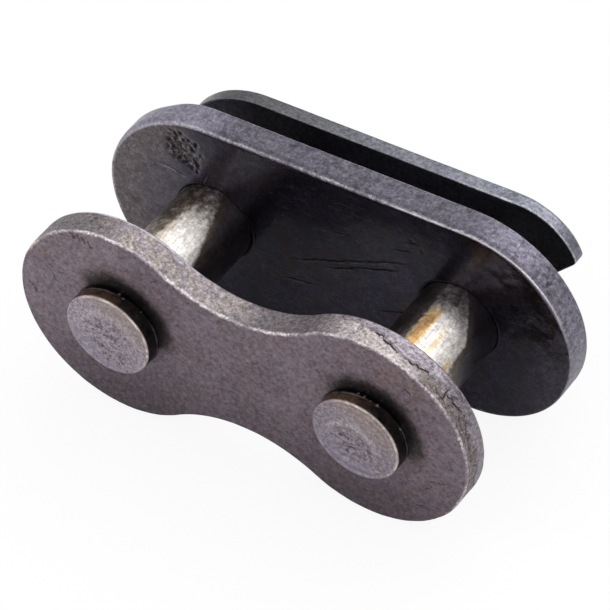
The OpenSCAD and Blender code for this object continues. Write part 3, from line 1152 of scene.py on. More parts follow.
def pin_head(w, place, x, z, sandy, settings, finish):
    """The riveted head's face: grainy, with painted shading warmer above and cooler below, pitted in
    the punched seat, with a painted highlight on the ridge above it and on the lip."""
    head_color = shade(settings.head_color, finish["head"])
    head = w.mix(w.ramp(sandy, 0.38, 0.62), shade(head_color, 0.62), shade(head_color, 1.3))
    # painted shading: warmer on the upper part, cooler on the lower
    upper = w.ramp(w.plus(w.times(x, 0.6), z), 0.2, 2.0)
    head = w.mix(w.times(upper, 0.55), head, settings.upper_head_shade)
    lower = w.ramp(w.plus(w.times(x, 0.6), z), -0.6, -1.9)
    head = w.mix(w.times(lower, 0.45), head, settings.head_shade)
    dots = w.effect("pits", place, Scale=5.2, Share=0.6, Radius=0.42)["Mask"]
    dots = w.times(dots, w.ramp(w.value("seat"), 0.1, 0.9, 0.12, 0.9))
    head = w.mix(dots, head, settings.dot_color)
    head = w.mix(w.times(w.value("pit"), finish["pit"]), head, settings.pit_color)
    # painted highlight on the seat's ridge and on the glints at the foot
    ridge = w.times(w.value("ridge"), w.ramp(sandy, 0.36, 0.6, 0.25, 1.0))
    head = w.mix(w.times(ridge, finish["ridge"]), head, settings.ridge_color)
    # painted highlight on the lip, where it faces up and right
    facing = w.ramp(w.plus(x, w.times(z, 0.9)), -0.6, 1.6)
    broken = w.ramp(w.noise(place, 2.2, 4.0, 0.75), 0.42, 0.6, 0.14, finish["lip"])
    lip = w.times(w.times(w.value("lip"), facing), broken)
    head = w.mix(lip, head, settings.lip_highlight_color)
    return w.effect("speckle", place, Color=head, Scale=5.5, Amount=1.3)["Color"]


def pin_head_wall(w, place, local, turn, settings):
    """The mask and colour of the head's wall, painted near black as shade and dark reflection, browner
    on its upper left: a dark seam, the joint with painted shade where it climbs, runs round its foot,
    under a broken painted highlight."""
    x, y, z = (w.axis(local, axis) for axis in "XYZ")
    radius = w.math("SQRT", w.plus(w.times(x, x), w.times(z, z)))
    below_rim = w.ramp(y, PIN_LOW[1] + 0.05, PIN_LOW[1] + 0.11)
    mask = w.times(below_rim, w.ramp(radius, HEAD_R - 0.12, HEAD_R - 0.06))
    mask = w.times(mask, w.ramp(w.value("ridge"), 0.5, 0.2))
    warm = w.ramp(w.minus(z, x), 0.8, 3.0)
    wall = w.mix(warm, settings.wall_color, settings.wall_tint)
    top = w.ramp(turn, 20.0, 95.0, PLATE_LOW[1] - 0.06, PLATE_LOW[1] - 0.22)
    seam = w.minus(y, top)
    wall = w.mix(w.ramp(seam, 0.02, 0.06), wall, settings.seam_color)
    line = w.ramp(w.absolute(seam), 0.05, 0.02)
    upper = w.ramp(w.away(turn, 107.0), 32.0, 12.0, 0.0, 0.8)
    right = w.ramp(w.away(turn, 6.0), 30.0, 14.0)
    wall = w.mix(w.times(line, w.most(upper, right)), wall, settings.foot_highlight_color)
    return mask, w.effect("speckle", place, Color=wall, Scale=3.0, Amount=3.5)["Color"]


def pin_steel(name, settings, finish):
    """Satin pin steel: bright on a wedge along its top, with straw bands that are painted reflections,
    and painted shade for the dark reflections on both flanks and the shade near the cover plate. The
    riveted head is duller, grainy and pitted, and the free end beyond the cover plate is plain turned
    steel."""
    material, w, shader = start_material(name, settings.shank_color)
    place = w.position()
    grain = w.effect("grain", place, Grain_Scale=8.0, Blotch_Scale=1.2)
    local = w.vector("SUBTRACT", place, (finish["x"], 0.0, PIN_Z))
    x, y, z = (w.axis(local, axis) for axis in "XYZ")
    turn = w.math("DIVIDE", w.math("ARCTAN2", z, x), math.radians(1))
    mottle = w.noise(w.stretch(place, (1.0, 0.7, 1.0)), 4.5, 5.0, 0.75)
    sandy = w.noise(place, 6.0, 4.0, 0.82)
    shank = pin_shank(w, place, y, turn, mottle, settings, finish)
    shank, painted_shade = shaded_shank(w, place, y, turn, shank, settings, finish)
    head = pin_head(w, place, x, z, sandy, settings, finish)
    mask, wall = pin_head_wall(w, place, local, turn, settings)
    base = w.mix(w.value("head"), shank, w.mix(mask, head, wall))
    beyond_cover = w.ramp(y, COVER_HIGH[1] - 0.4, COVER_HIGH[1] + 0.4)
    turned_end = w.mix(grain["Grain"], settings.end_color, settings.end_grain_color)
    base = w.mix(w.times(beyond_cover, 0.85), base, turned_end)
    rough = w.number_mix(painted_shade, finish["rough"], 0.3)
    rough = w.number_mix(w.value("head"), rough, 0.42)
    rough = w.plus(rough, w.ramp(grain["Blotch"], 0.0, 1.0, 0.0, 0.08))
    height = w.plus(mottle, w.times(w.value("head"), w.times(sandy, 2.2)))
    finish_steel(w, shader, base, rough, height, 0.01)
    return material


# ---------------------------------------------------------------- cover plate


# middle of the chipped part of the cover's right end
CHIP_PLACE = (10.6, 2.35, 8.9)
# x and z of the corroded patch on the bay side, its half width and half height, and the middle of
# its pits
CORRODED_PLACE = (-7.65, 9.0)
CORRODED_SIZE = (1.05, 0.95)
PITS_PLACE = (-7.6, 9.05)


def cover_chips(draw):
    """Places of the chips in the cover's right end: a cloud round their middle, pushed out to the
    plate's round edge."""
    chips = draw.normal(0, 1, (CHIPS, 3)) * (0.5, 0.32, 0.55)
    chips[:, :2] += CHIP_PLACE[:2]
    end_x = COVER_HIGH[0] - COVER_R
    bend = np.hypot(chips[:, 0] - end_x, CHIP_PLACE[2] + chips[:, 2] - PIN_Z)
    chips[:, 0] = end_x + (chips[:, 0] - end_x) * COVER_R / bend
    chips[:, 2] = PIN_Z + (CHIP_PLACE[2] + chips[:, 2] - PIN_Z) * COVER_R / bend
    return chips


def cover_relief(points, normals, edge):
    """The cover plate's relief: gently dished faces, a rolled edge with tool ripples, shallow nicks
    and chips along its edges, and one corroded patch on the bay side. Depths add up."""
    shape = points.shape[:-1]
    rim, near, far = (np.broadcast_to(edge[key], shape) for key in ("rim", "near", "far"))
    depth = 0.005 * (1 + cloud(points, 3.0, 21, 2)) + 0.0022 * (1 + cloud(points, 0.5, 26, 2))
    depth = depth + rim * 0.006 * (1 + cloud(points, 0.7, 22, 3))
    depth = depth + 0.012 * hump(near - 0.1, 0.1) * (1 + cloud(points * (1, 0, 1), 0.42, 23, 2))
    draw = np.random.default_rng(24)
    at_x = draw.uniform(-7.8, 8.2, NICKS)
    top = np.where(draw.random(NICKS) < 0.65, COVER_HIGH[2], COVER_LOW[2])
    at_y = COVER_HIGH[1] - draw.uniform(0.15, 0.75, NICKS)
    size = draw.uniform(0.08, 0.2, NICKS)
    nicks = dents(points, np.stack([at_x, at_y, top], -1), size, draw.uniform(0.4, 1, NICKS))
    bay_side = normals[..., 1] < -0.5
    x, z = points[..., 0], points[..., 2]
    away = np.stack([x, z], -1) - CORRODED_PLACE
    gap = np.linalg.norm(away / CORRODED_SIZE, axis=-1) + 0.6 * cloud(points, 0.8, 27, 3)
    corroded = (1 - blend(gap, 0.5, 1.2)) * bay_side
    spots = hump(np.hypot((x - 4.3) / 1.3, z - 8.9), 0.55)
    spots = spots + hump(np.hypot(x - 10.2, (z - 7.2) / 1.4), 0.5)
    spots = spots * bay_side * blend(cloud(points, 0.3, 28, 2), 0.1, 0.4)
    along, across = np.clip(draw.normal(0, 1, (PITS, 2)), -1.7, 1.7).T
    pit_x = PITS_PLACE[0] + 0.46 * along + 0.1 * across
    pit_z = PITS_PLACE[1] - 0.22 * along + 0.42 * across
    pit_places = np.stack([pit_x, 0 * pit_x + COVER_LOW[1], pit_z], -1)
    pits = dents(points, pit_places, draw.uniform(0.05, 0.13, PITS), draw.uniform(0.4, 1, PITS))
    pits = np.clip(pits, 0, 1.2) * bay_side
    lumps = 0.5 + 0.5 * cloud(points, 0.24, 33, 2)
    places = cover_chips(draw)
    chips = dents(points, places, draw.uniform(0.04, 0.1, CHIPS), draw.uniform(0.4, 1, CHIPS))
    depth = depth + 0.04 * nicks + 0.05 * chips
    depth = depth + 0.06 * pits + 0.02 * spots + 0.045 * corroded * lumps
    values = {"rim": rim, "near": near, "far": far, "nick": nicks + 1.8 * chips}
    values = {**values, "pit": np.maximum(pits, 0.8 * spots), "corroded": corroded}
    return depth, {**values, "seam": 1 - blend(edge["mouth"], 0.03, 0.12) + 0 * rim}


def cover_face(w, place, x, z, wander, settings, grain):
    """Blue-black oxide of the faces, browner in places, and lighter with stains near the ends, where
    light is painted on. The mask of the dark clots of oil at the right end is given too."""
    oxide = settings.face_color
    face = w.mix(grain["Blotch"], shade(oxide, 1.25), shade(oxide, 0.5))
    brown = w.ramp(w.noise(place, 0.9, 6.0, 0.75, 0.4), 0.48, 0.66, 0.0, 0.6)
    face = w.mix(brown, face, settings.brown_color)
    moved = w.plus(x, wander)
    # painted light on both ends, strongest on the left, lighter than the shaded middle
    ends = w.most(w.ramp(moved, -6.9, -9.2), w.ramp(moved, 8.4, 11.4, 0.0, 0.22))
    by_edge = w.ramp(w.plus(w.value("near"), w.times(wander, 0.3)), -2.4, -0.9)
    lit_end = w.mix(by_edge, settings.lit_end_color, settings.end_color)
    stain_and_shade = w.ramp(w.noise(place, 1.5, 5.0, 0.7, 0.5), 0.42, 0.66, 0.0, 0.6)
    face = w.mix(ends, face, w.mix(stain_and_shade, lit_end, settings.stain_color))
    face = w.mix(w.ramp(grain["Grain"], 0.0, 1.0, 0.0, 0.45), face, shade(oxide, 0.4))
    clots = w.ramp(w.noise(place, 1.1, 5.0, 0.7, 0.6), 0.44, 0.58)
    clots = w.times(w.times(clots, w.ramp(moved, 7.0, 9.5)), w.ramp(z, 4.5, 6.5))
    return face, clots


def cover_marks(w, place, y, face, clots, settings):
    """The face's colour with hairlines, scores and their lit lower ledges, ridges, clots, pits and
    corrosion, and the masks of the hairlines and the scores."""
    bay_side = w.ramp(y, COVER_LOW[1] + 0.3, COVER_LOW[1] + 0.1)
    hairs = w.effect("scratch", w.stretch(place, (0.5, 1.0, 3.0)), Scale=0.9, Amount=0.7)["Mask"]
    face = w.mix(w.times(hairs, 0.6), face, settings.hair_color)
    scores = w.times(score_lines(w, place, COVER_SCORES, 0.32, 0.5), bay_side)
    face = w.mix(w.times(scores, 0.95), face, settings.score_color)
    below = w.vector("ADD", place, (0.0, 0.0, 0.12))
    ledge = score_lines(w, below, COVER_SCORES[:LEDGED_SCORES], 0.32, 0.3)
    ledge = w.times(ledge, w.minus(1.0, scores))
    face = w.mix(w.times(ledge, 0.4), face, settings.ledge_color)
    ridges = w.times(score_lines(w, place, COVER_RIDGES, 0.32), bay_side)
    face = w.mix(w.times(ridges, 0.45), face, settings.ridge_color)
    face = w.mix(w.times(clots, 0.85), face, settings.clot_color)
    face = w.mix(w.times(w.value("pit"), 0.6), face, settings.pit_color)
    corroded = w.value("corroded")
    flecks = w.ramp(w.noise(place, 5.0, 4.0, 0.8), 0.46, 0.58, 0.0, 0.75)
    face = w.mix(w.times(corroded, flecks), face, settings.fleck_color)
    dots = w.effect("pits", place, Scale=4.6, Share=0.55, Radius=0.4)["Mask"]
    face = w.mix(w.times(w.times(corroded, dots), 0.7), face, settings.dot_color)
    face = w.effect("speckle", place, Color=face, Scale=4.4, Amount=2.6)["Color"]
    return w.mix(w.times(w.value("seam"), 0.9), face, settings.seam_color), hairs, scores


def cover_edge(w, place, x, sandy, settings):
    """Colour of the rolled and cut edge: lined along its length, paler at both ends, dark in nicks.
    The paler left end is a painted reflection of the pale horizon.
    """
    cut = settings.edge_color
    lines = w.noise(w.stretch(place, (2.2, 4.0, 2.2)), 1.0, 4.0, 0.65)
    side = w.mix(w.ramp(lines, 0.36, 0.64), cut, shade(cut, 0.76))
    side = w.mix(w.ramp(sandy, 0.36, 0.62, 0.35, 0.0), side, shade(cut, 0.45))
    # painted reflection: the left end is paler
    side = w.mix(w.ramp(x, -5.2, -7.8, 0.0, 0.8), side, shade(cut, 2.15))
    patchy = w.ramp(w.noise(place, 4.0, 5.0, 0.8), 0.36, 0.62)
    side = w.mix(w.times(w.ramp(x, 6.5, 9.5, 0.0, 0.75), patchy), side, shade(cut, 1.8))
    side = w.mix(w.times(w.least(w.value("nick"), 1.6), 0.45), side, shade(cut, 0.3))
    return w.effect("speckle", place, Color=side, Scale=5.4, Amount=2.6)["Color"]


def cover_arrises(w, place, x, z, sandy, base, settings):
    """The cover's colour with bare metal along its edges: a crisp painted highlight over a brown line of
    painted shade on the upper right of the bay side, and worn steel elsewhere."""
    off_lip = w.plus(w.value("near"), w.ramp(x, 7.0, 10.0, 0.08, 0.0))
    lip = w.effect("worn", place, Distance=off_lip, Width=0.12, Raggedness=0.045)["Mask"]
    base = w.mix(w.times(lip, w.ramp(x, 8.6, 10.4, 0.75, 0.35)), base, settings.worn_color)
    # painted highlight on the rolled lip, over a brown line of painted shade
    upper_right = w.times(w.ramp(x, 2.4, 3.6), w.ramp(z, 6.6, 9.6))
    crisp = w.ramp(w.absolute(w.plus(off_lip, 0.02)), 0.055, 0.015)
    crisp = w.times(crisp, w.ramp(sandy, 0.36, 0.52, 0.35, 0.9))
    base = w.mix(w.times(crisp, upper_right), base, settings.crisp_highlight_color)
    under = w.ramp(w.absolute(w.plus(off_lip, 0.16)), 0.09, 0.03, 0.0, 0.6)
    base = w.mix(w.times(under, upper_right), base, settings.brown_color)
    back = w.effect("worn", place, Distance=w.value("far"), Width=0.1, Raggedness=0.02)["Mask"]
    return w.mix(w.times(back, 0.5), base, settings.worn_color)


def cover_steel(settings):
    """Blue-black oxide on the cover plate, lighter brown-grey at its ends by painted light, paler on
    the rolled edge, under a thin film of oil that is missing on the edge, in marks and in clots."""
    material, w, shader = start_material("cover_steel", settings.face_color)
    place = w.position()
    grain = w.effect("grain", place, Grain_Scale=6.0, Blotch_Scale=0.7)
    x, y, z = (w.axis(place, name) for name in "XYZ")
    rim = w.value("rim")
    sandy = w.noise(place, 6.0, 4.0, 0.72)
    wander = w.times(w.minus(w.noise(place, 0.55, 4.0, 0.6), 0.5), 3.0)
    face, clots = cover_face(w, place, x, z, wander, settings, grain)
    face, hairs, scores = cover_marks(w, place, y, face, clots, settings)
    base = w.mix(w.ramp(rim, 0.12, 0.45), face, cover_edge(w, place, x, sandy, settings))
    base = cover_arrises(w, place, x, z, sandy, base, settings)
    rough = w.number_mix(grain["Blotch"], 0.32, 0.42)
    plain = w.most(rim, w.most(w.value("corroded"), w.value("seam")))
    rough = w.number_mix(plain, rough, 0.42)
    dry = w.most(plain, w.most(scores, clots), clamp=True)
    film = w.ramp(w.noise(place, 0.7, 4.0, 0.65), 0.34, 0.64, 0.6, 1.2)
    w.feed(shader["Coat Weight"], w.times(w.ramp(dry, 0.0, 0.8, settings.oil_film, 0.0), film))
    shader["Coat Roughness"].default_value = 0.15
    height = w.minus(grain["Height"], w.times(w.most(scores, w.times(hairs, 0.25)), 4.0))
    height = w.plus(height, w.times(sandy, rim))
    finish_steel(w, shader, base, rough, height, 0.012)
    return material


# raised and scored lines on the cover's bay side, as in PLATE_SCORES. The first scores are ploughed
# deep enough for a lit ledge below them.
LEDGED_SCORES = 4
COVER_RIDGES = (
    (-8.75, 7.5, 0, 1.6, 0.09),
    (-8.0, 7.38, -16, 1.1, 0.07),
    (2.9, 5.63, 0, 0.25, 0.08),
)
COVER_SCORES = (
    (0.8, 6.2, 23, 8.0, 0.1),
    (1.45, 6.03, 22, 4.8, 0.1),
    (-1.9, 3.76, 10, 1.8, 0.08),
    (-0.15, 7.6, 10, 2.6, 0.06),
    (1.15, 5.9, 12, 0.7, 0.16),
    (4.05, 8.72, 16, 1.2, 0.08),
    (3.6, 8.1, 14, 1.4, 0.07),
    (3.0, 4.2, 18, 2.2, 0.07),
    (-8.4, 7.6, -12, 1.6, 0.06),
    (-6.9, 7.2, 62, 1.8, 0.06),
)


# ---------------------------------------------------------------- spring clip


def clip_leg(settings, step):
    """Outer and inner line of the upper leg from the nose to the tip, the same number of points on
    each, and the rounded tip between their ends. Arcs and straight lines, tangent where they can be."""
    corner, tip_r = settings.corner_radius / MM, settings.tip_radius / MM
    half_slot, seat_r = settings.slot_width / MM / 2, settings.seat_diameter / MM / 2
    half_mouth = settings.mouth_width / MM / 2
    nose = (CLIP_LOW[0] + CLIP_R, 0.0)
    tip_x = PIN_X + settings.reach / MM
    heart = np.array([tip_x - corner, CLIP_R - corner])
    seat = math.asin(half_slot / seat_r)
    seat_x = PIN_X - seat_r * math.cos(seat)
    past_x = PIN_X + seat_r * math.cos(seat)
    throat_x = tip_x - (half_mouth - half_slot)
    # the tip's arc touches the corner's arc from inside, and the flare
    offset = (-tip_r * math.sqrt(2) + (throat_x - half_slot) - heart[0] + heart[1]) / (corner - tip_r)
    lean = math.acos(offset / math.sqrt(2)) - math.pi / 4
    tip = heart + (corner - tip_r) * np.array([math.cos(lean), math.sin(lean)])
    flare_end = tip + tip_r * np.array([1, -1]) / math.sqrt(2)
    bend = MOUTH_BEND * math.tan(math.pi / 8)
    # points along the nose, the middle, the seat and the end, alike on both lines
    n_nose, n_mid, n_seat = int(7.2 / step), int((seat_x + PIN_X - 0.9) / step), int(2.0 / step)
    n_end = int(3.4 / step)
    down, up = (0, -1), (0, 1)
    slant = np.array([1, -1]) / math.sqrt(2)
    outer = join_runs(
        arc_run(nose, CLIP_R, math.pi, math.pi / 2, n_nose),
        line_run((nose[0], CLIP_R), (seat_x, CLIP_R), up, n_mid),
        line_run((seat_x, CLIP_R), (past_x, CLIP_R), up, n_seat),
        line_run((past_x, CLIP_R), (heart[0], CLIP_R), up, 5),
        arc_run(heart, corner, math.pi / 2, lean, 2 * n_end - 3),
    )
    throat = (throat_x - bend, half_slot)
    turn_end = np.array([throat_x, half_slot]) + bend * np.array([1, 1]) / math.sqrt(2)
    inner = join_runs(
        arc_run((-PIN_X, 0), seat_r, math.pi, seat, n_nose, hollow=True),
        line_run((-seat_x, half_slot), (seat_x, half_slot), down, n_mid),
        arc_run((PIN_X, 0), seat_r, math.pi - seat, seat, n_seat, hollow=True),
        line_run((past_x, half_slot), throat, down, n_end - 6),
        arc_run((throat[0], half_slot + MOUTH_BEND), MOUTH_BEND, -math.pi / 2, -math.pi / 4, 8),
        line_run(turn_end, flare_end, slant, n_end + 1),
    )
    return outer, inner, arc_run(tip, tip_r, lean, -math.pi / 4, 13)


def clip_face(outer, inner, tip, radii, rounding):
    """A face of the upper leg: straight lines from the outer to the inner line, both moved in by
    their rounding, and pulled on to the tip's arc near their end by a square law. Gives the rows and
    how far each point is from the nearer edge."""
    far_line, near_line = inset(outer, radii[0]), inset(inner, radii[2])
    share = np.linspace(0, 1, len(tip))[:, None, None]
    rows = far_line + (near_line - far_line) * share
    pull = np.zeros(len(outer))
    pull[-TIP_COLUMNS:] = np.linspace(0, 1, TIP_COLUMNS) ** 2
    rows = rows + (inset(tip, radii[1])[:, None, :] - rows[:, -1:, :]) * pull[None, :, None]
    across = np.linalg.norm(near_line - far_line, axis=-1)
    return rows, np.minimum(share[..., 0], 1 - share[..., 0]) * across + rounding * math.pi / 4


def clip_patches(settings):
    """The clip's two legs: the edge profile carried along each leg's outline and tip, and a face on
    either side. The back's rounding grows towards the tip. The lower leg is the upper one mirrored."""
    outer, inner, tip = clip_leg(settings, CLIP_STEP)
    front, back = settings.front_edge / MM, settings.back_edge / MM
    thickness = CLIP_HIGH[1] - CLIP_LOW[1]
    rolled = back + 0.03 + 0.1 * blend(outer[:, 0], 6.9, 8.8)
    backs = (rolled, np.linspace(rolled[-1], back, len(tip)), np.full(len(inner), back))
    patches = []

    def add(x, y, z, normals, rim, near, far):
        points = np.stack(np.broadcast_arrays(x, CLIP_LOW[1] + y, PIN_Z + z), -1)
        normals = np.broadcast_to(normals, points.shape)
        rim, near, far = (np.broadcast_to(v, points.shape[:-1]) for v in (rim, near, far))
        depth = 0.004 * (1 + cloud(points, 1.8, 31, 2)) + rim * 0.006 * (1 + cloud(points, 0.6, 32, 2))
        moved = points - normals * depth[..., None]
        patches.append(patch(moved, normals, False, rim=rim, near=near, far=far))

    for side in (1, -1):
        for run, radii in zip((outer, tip, inner), backs):
            profile = edge_profile(thickness, np.full(len(run), front), radii, *CLIP_RINGS)
            travel = edge_travel(profile)
            rim, normals = carry_profile(run, profile, (1, side))
            near, far = travel - travel[2], travel[-3] - travel
            add(rim[..., 0], profile[..., 1], rim[..., 1], normals, profile[..., 2], near, far)
        fronts = [np.full(len(run), front) for run in (outer, tip, inner)]
        for depth, rounding, radii, facing in ((0, front, fronts, -1), (thickness, back, backs, 1)):
            rows, gap = clip_face(outer, inner, tip, radii, rounding)
            near, far = (-gap, thickness + gap) if facing < 0 else (thickness + gap, -gap)
            add(rows[..., 0], depth, side * rows[..., 1], (0, facing, 0), 0.0, near, far)
    return patches


def clip_steel(settings):
    """Blue-black oxide of the clip, grainy and greyer on its sheared edge, bright at the arris."""
    material, w, shader = start_material("clip_steel", settings.face_color)
    place = w.position()
    grain = w.effect("grain", place, Grain_Scale=5.0, Blotch_Scale=0.8)
    rim, x = w.value("rim"), w.axis(place, "X")
    face = w.mix(grain["Blotch"], settings.face_color, shade(settings.face_color, 0.65))
    hairs = w.effect("scratch", w.stretch(place, (0.6, 1.0, 2.4), (0, 0.3, 0)), Amount=0.8)["Mask"]
    face = w.mix(w.times(hairs, 0.5), face, settings.hair_color)
    side = w.mix(w.ramp(x, 7.0, -6.0), settings.edge_color, settings.warm_edge_color)
    sandy = w.noise(place, 5.5, 4.0, 0.72)
    side = w.mix(w.ramp(sandy, 0.34, 0.6, 0.6, 0.0), side, shade(settings.edge_color, 0.4))
    dim_edge = shade(settings.edge_color, 0.6)
    side = w.mix(w.ramp(w.noise(place, 0.8, 3.0), 0.4, 0.62, 0.0, 0.5), side, dim_edge)
    side = w.mix(w.ramp(x, 9.2, 10.3, 0.0, 0.5), side, dim_edge)
    base = w.mix(w.ramp(rim, 0.35, 0.85), face, side)
    base = w.effect("speckle", place, Color=base, Scale=5.4, Amount=2.2)["Color"]
    worn = w.effect("worn", place, Distance=w.value("near"), Width=0.13, Raggedness=0.02)["Mask"]
    base = w.mix(w.times(worn, w.ramp(x, 3.8, 5.6, 0.15, 0.9)), base, settings.worn_color)
    worn_back = w.effect("worn", place, Distance=w.value("far"), Width=0.07, Raggedness=0.02)["Mask"]
    base = w.mix(w.times(worn_back, 0.25), base, settings.worn_color)
    rough = w.number_mix(grain["Blotch"], 0.34, 0.46)
    height = w.plus(grain["Height"], w.times(w.times(sandy, rim), 0.8))
    finish_steel(w, shader, base, rough, height, 0.012)
    return material


# ---------------------------------------------------------------- settings


def length(label, text, millimetres, low=0.0):
    """A length property with its default in millimetres."""
    kind = {"precision": 5, "unit": "LENGTH", "subtype": "DISTANCE"}
    return FloatProperty(name=label, description=text, default=millimetres * MM, min=low, **kind)


def paint(label, text, default):
    """A colour property."""
    kind = {"size": 3, "min": 0.0, "max": 1.0, "subtype": "COLOR"}
    return FloatVectorProperty(name=label, description=text, default=default, **kind)


def number(label, text, default, low=0.0, high=10.0):
    """A plain number property."""
    return FloatProperty(name=label, description=text, default=default, min=low, max=high)


def angle(label, text, degrees):
    """An angle property with its default in degrees."""
    kind = {"precision": 4, "unit": "ROTATION", "subtype": "ANGLE"}
    return FloatProperty(name=label, description=text, default=math.radians(degrees), **kind)


class StageSettings(bpy.types.PropertyGroup):
    azimuth: angle("Azimuth", "Turn of the camera round the link, 0 looking along the pins", 35.829)
    elevation: angle("Elevation", "Height of the camera above the horizon", 44.02)
    roll: angle("Roll", "Tilt of the camera about its own line of sight", -4.384)
    distance: length("Distance", "From the camera to the point it aims at", 172.8)
    aim: FloatVectorProperty(
        name="Aim",
        description="Point the camera looks at",
        default=(0.001335, -0.002556, 0.007372),
        precision=5,
        unit="LENGTH",
        subtype="TRANSLATION",
    )
    lens: number("Lens", "Focal length in millimetres on a 36 mm sensor", 238.3, 50.0, 400.0)
    floor_color: paint("Floor", "Colour of the floor", (0.8, 0.8, 0.8))
    floor_share: number("White share", "How much of the floor's look is plain white", 0.9, 0.0, 1.0)
    sky: number("Sky", "Brightness overhead", 1.0)
    walls: number("Walls", "Brightness a little above the horizon", 0.52)
    key_power: number("Key", "Power of the lamp above and behind, in watts", 1.9, 0.0, 50.0)
    fill_power: number("Fill", "Power of the lamp at the front left, in watts", 1.0, 0.0, 50.0)
    side_power: number("Side", "Power of the lamp at the front right, in watts", 0.8, 0.0, 50.0)


class PinPlateSettings(bpy.types.PropertyGroup):
    waist_height: length("Waist height", "Height of the plate across its waist", 6.5)
    front_edge: length("Front edge", "Rounding of the edge on the head side", 0.1)
    back_edge: length("Back edge", "Rounding of the edge on the bay side", 0.17)
    face_color: paint("Face", "Heat-treated steel of the faces", (0.178, 0.142, 0.17))
    rust_color: paint("Rust tint", "Brown tint in patches on the faces", (0.185, 0.128, 0.118))
    # painted shade round the heads, amber-tinted, for their shadow and dark reflection
    halo_shade_color: paint("Grease", "Amber grease round the heads", (0.05, 0.036, 0.03))
    burnished_color: paint("Burnished", "Smooth strip of the sheared edge", (0.25, 0.22, 0.25))
    torn_color: paint("Torn", "Gritty part of the sheared edge", (0.265, 0.233, 0.26))
    warm_torn_color: paint("Warm torn", "Warmer areas of the gritty part", (0.3, 0.262, 0.245))
    back_line_color: paint("Back line", "Bare metal along the edge on the bay side", (0.46, 0.43, 0.5))
    fracture_color: paint("Fracture", "Fresh grey-beige steel where the edge tore", (0.56, 0.51, 0.5))
    dull_fracture_color: paint("Dull fracture", "Far end of the torn edge", (0.12, 0.092, 0.085))
    crack_color: paint("Crack", "Open crack in the torn edge", (0.026, 0.021, 0.02))
    # bright line on the head-side edge: worn metal and partly a painted highlight
    worn_color: paint("Worn", "Bare metal along the edge on the head side", (0.86, 0.8, 0.82))
    arris_color: paint("Arris", "Thin bright line over the left end's edge", (0.7, 0.68, 0.8))
    score_color: paint("Scores", "Bottom of the scored lines", (0.022, 0.017, 0.018))
    # darker painted shade close to the heads
    deep_halo_shade_color: paint("Thick grease", "Grease close to the heads", (0.038, 0.033, 0.036))


class PinSettings(bpy.types.PropertyGroup):
    shank_diameter: length("Shank", "Diameter of the pins", 3.97)
    groove_diameter: length("Groove", "Diameter at the bottom of the clip groove", 3.0)
    head_edge: length("Head edge", "Rounding of the riveted heads' rims", 0.12)
    tail_cone: length("Tail cone", "Cone at the free ends", 0.3)
    shank_color: paint("Shank", "Satin steel of the shanks", (0.84, 0.8, 0.775))
    head_color: paint("Head", "Riveted heads", (0.33, 0.28, 0.325))
    # painted shading of the heads' faces: the tint above, the shade below
    upper_head_shade: paint("Head tint", "Warmer upper part of the heads", (0.3, 0.24, 0.2))
    head_shade: paint("Head shade", "Cooler lower part of the heads", (0.27, 0.255, 0.32))
    dot_color: paint("Small pits", "Small pits all over the heads", (0.075, 0.066, 0.075))
    pit_color: paint("Clustered pits", "Pits in the punched seats", (0.06, 0.054, 0.06))
    # painted highlights: the ridge colour also paints the glints, and the lip's colour the rim
    ridge_color: paint("Ridge", "Bright ridge over the punched seats", (0.5, 0.46, 0.47))
    lip_highlight_color: paint("Head lip", "Bare metal on the heads' rims", (0.82, 0.73, 0.66))
    # painted shade and dark reflection on the walls, painted shade in the seam over the joint, and a
    # painted highlight on the foot line
    wall_color: paint("Head wall", "Greasy wall round the heads", (0.03, 0.024, 0.024))
    wall_tint: paint("Wall tint", "Browner upper left of the heads' walls", (0.16, 0.105, 0.075))
    seam_color: paint("Seam", "Dark seam at the foot of the walls", (0.012, 0.01, 0.011))
    foot_highlight_color: paint("Foot line", "Bright line above that seam", (0.3, 0.28, 0.3))
    end_color: paint("Free end", "Turned steel of the free ends", (0.34, 0.32, 0.32))
    end_grain_color: paint("Free end grain", "Darker grain of the free ends", (0.22, 0.2, 0.2))


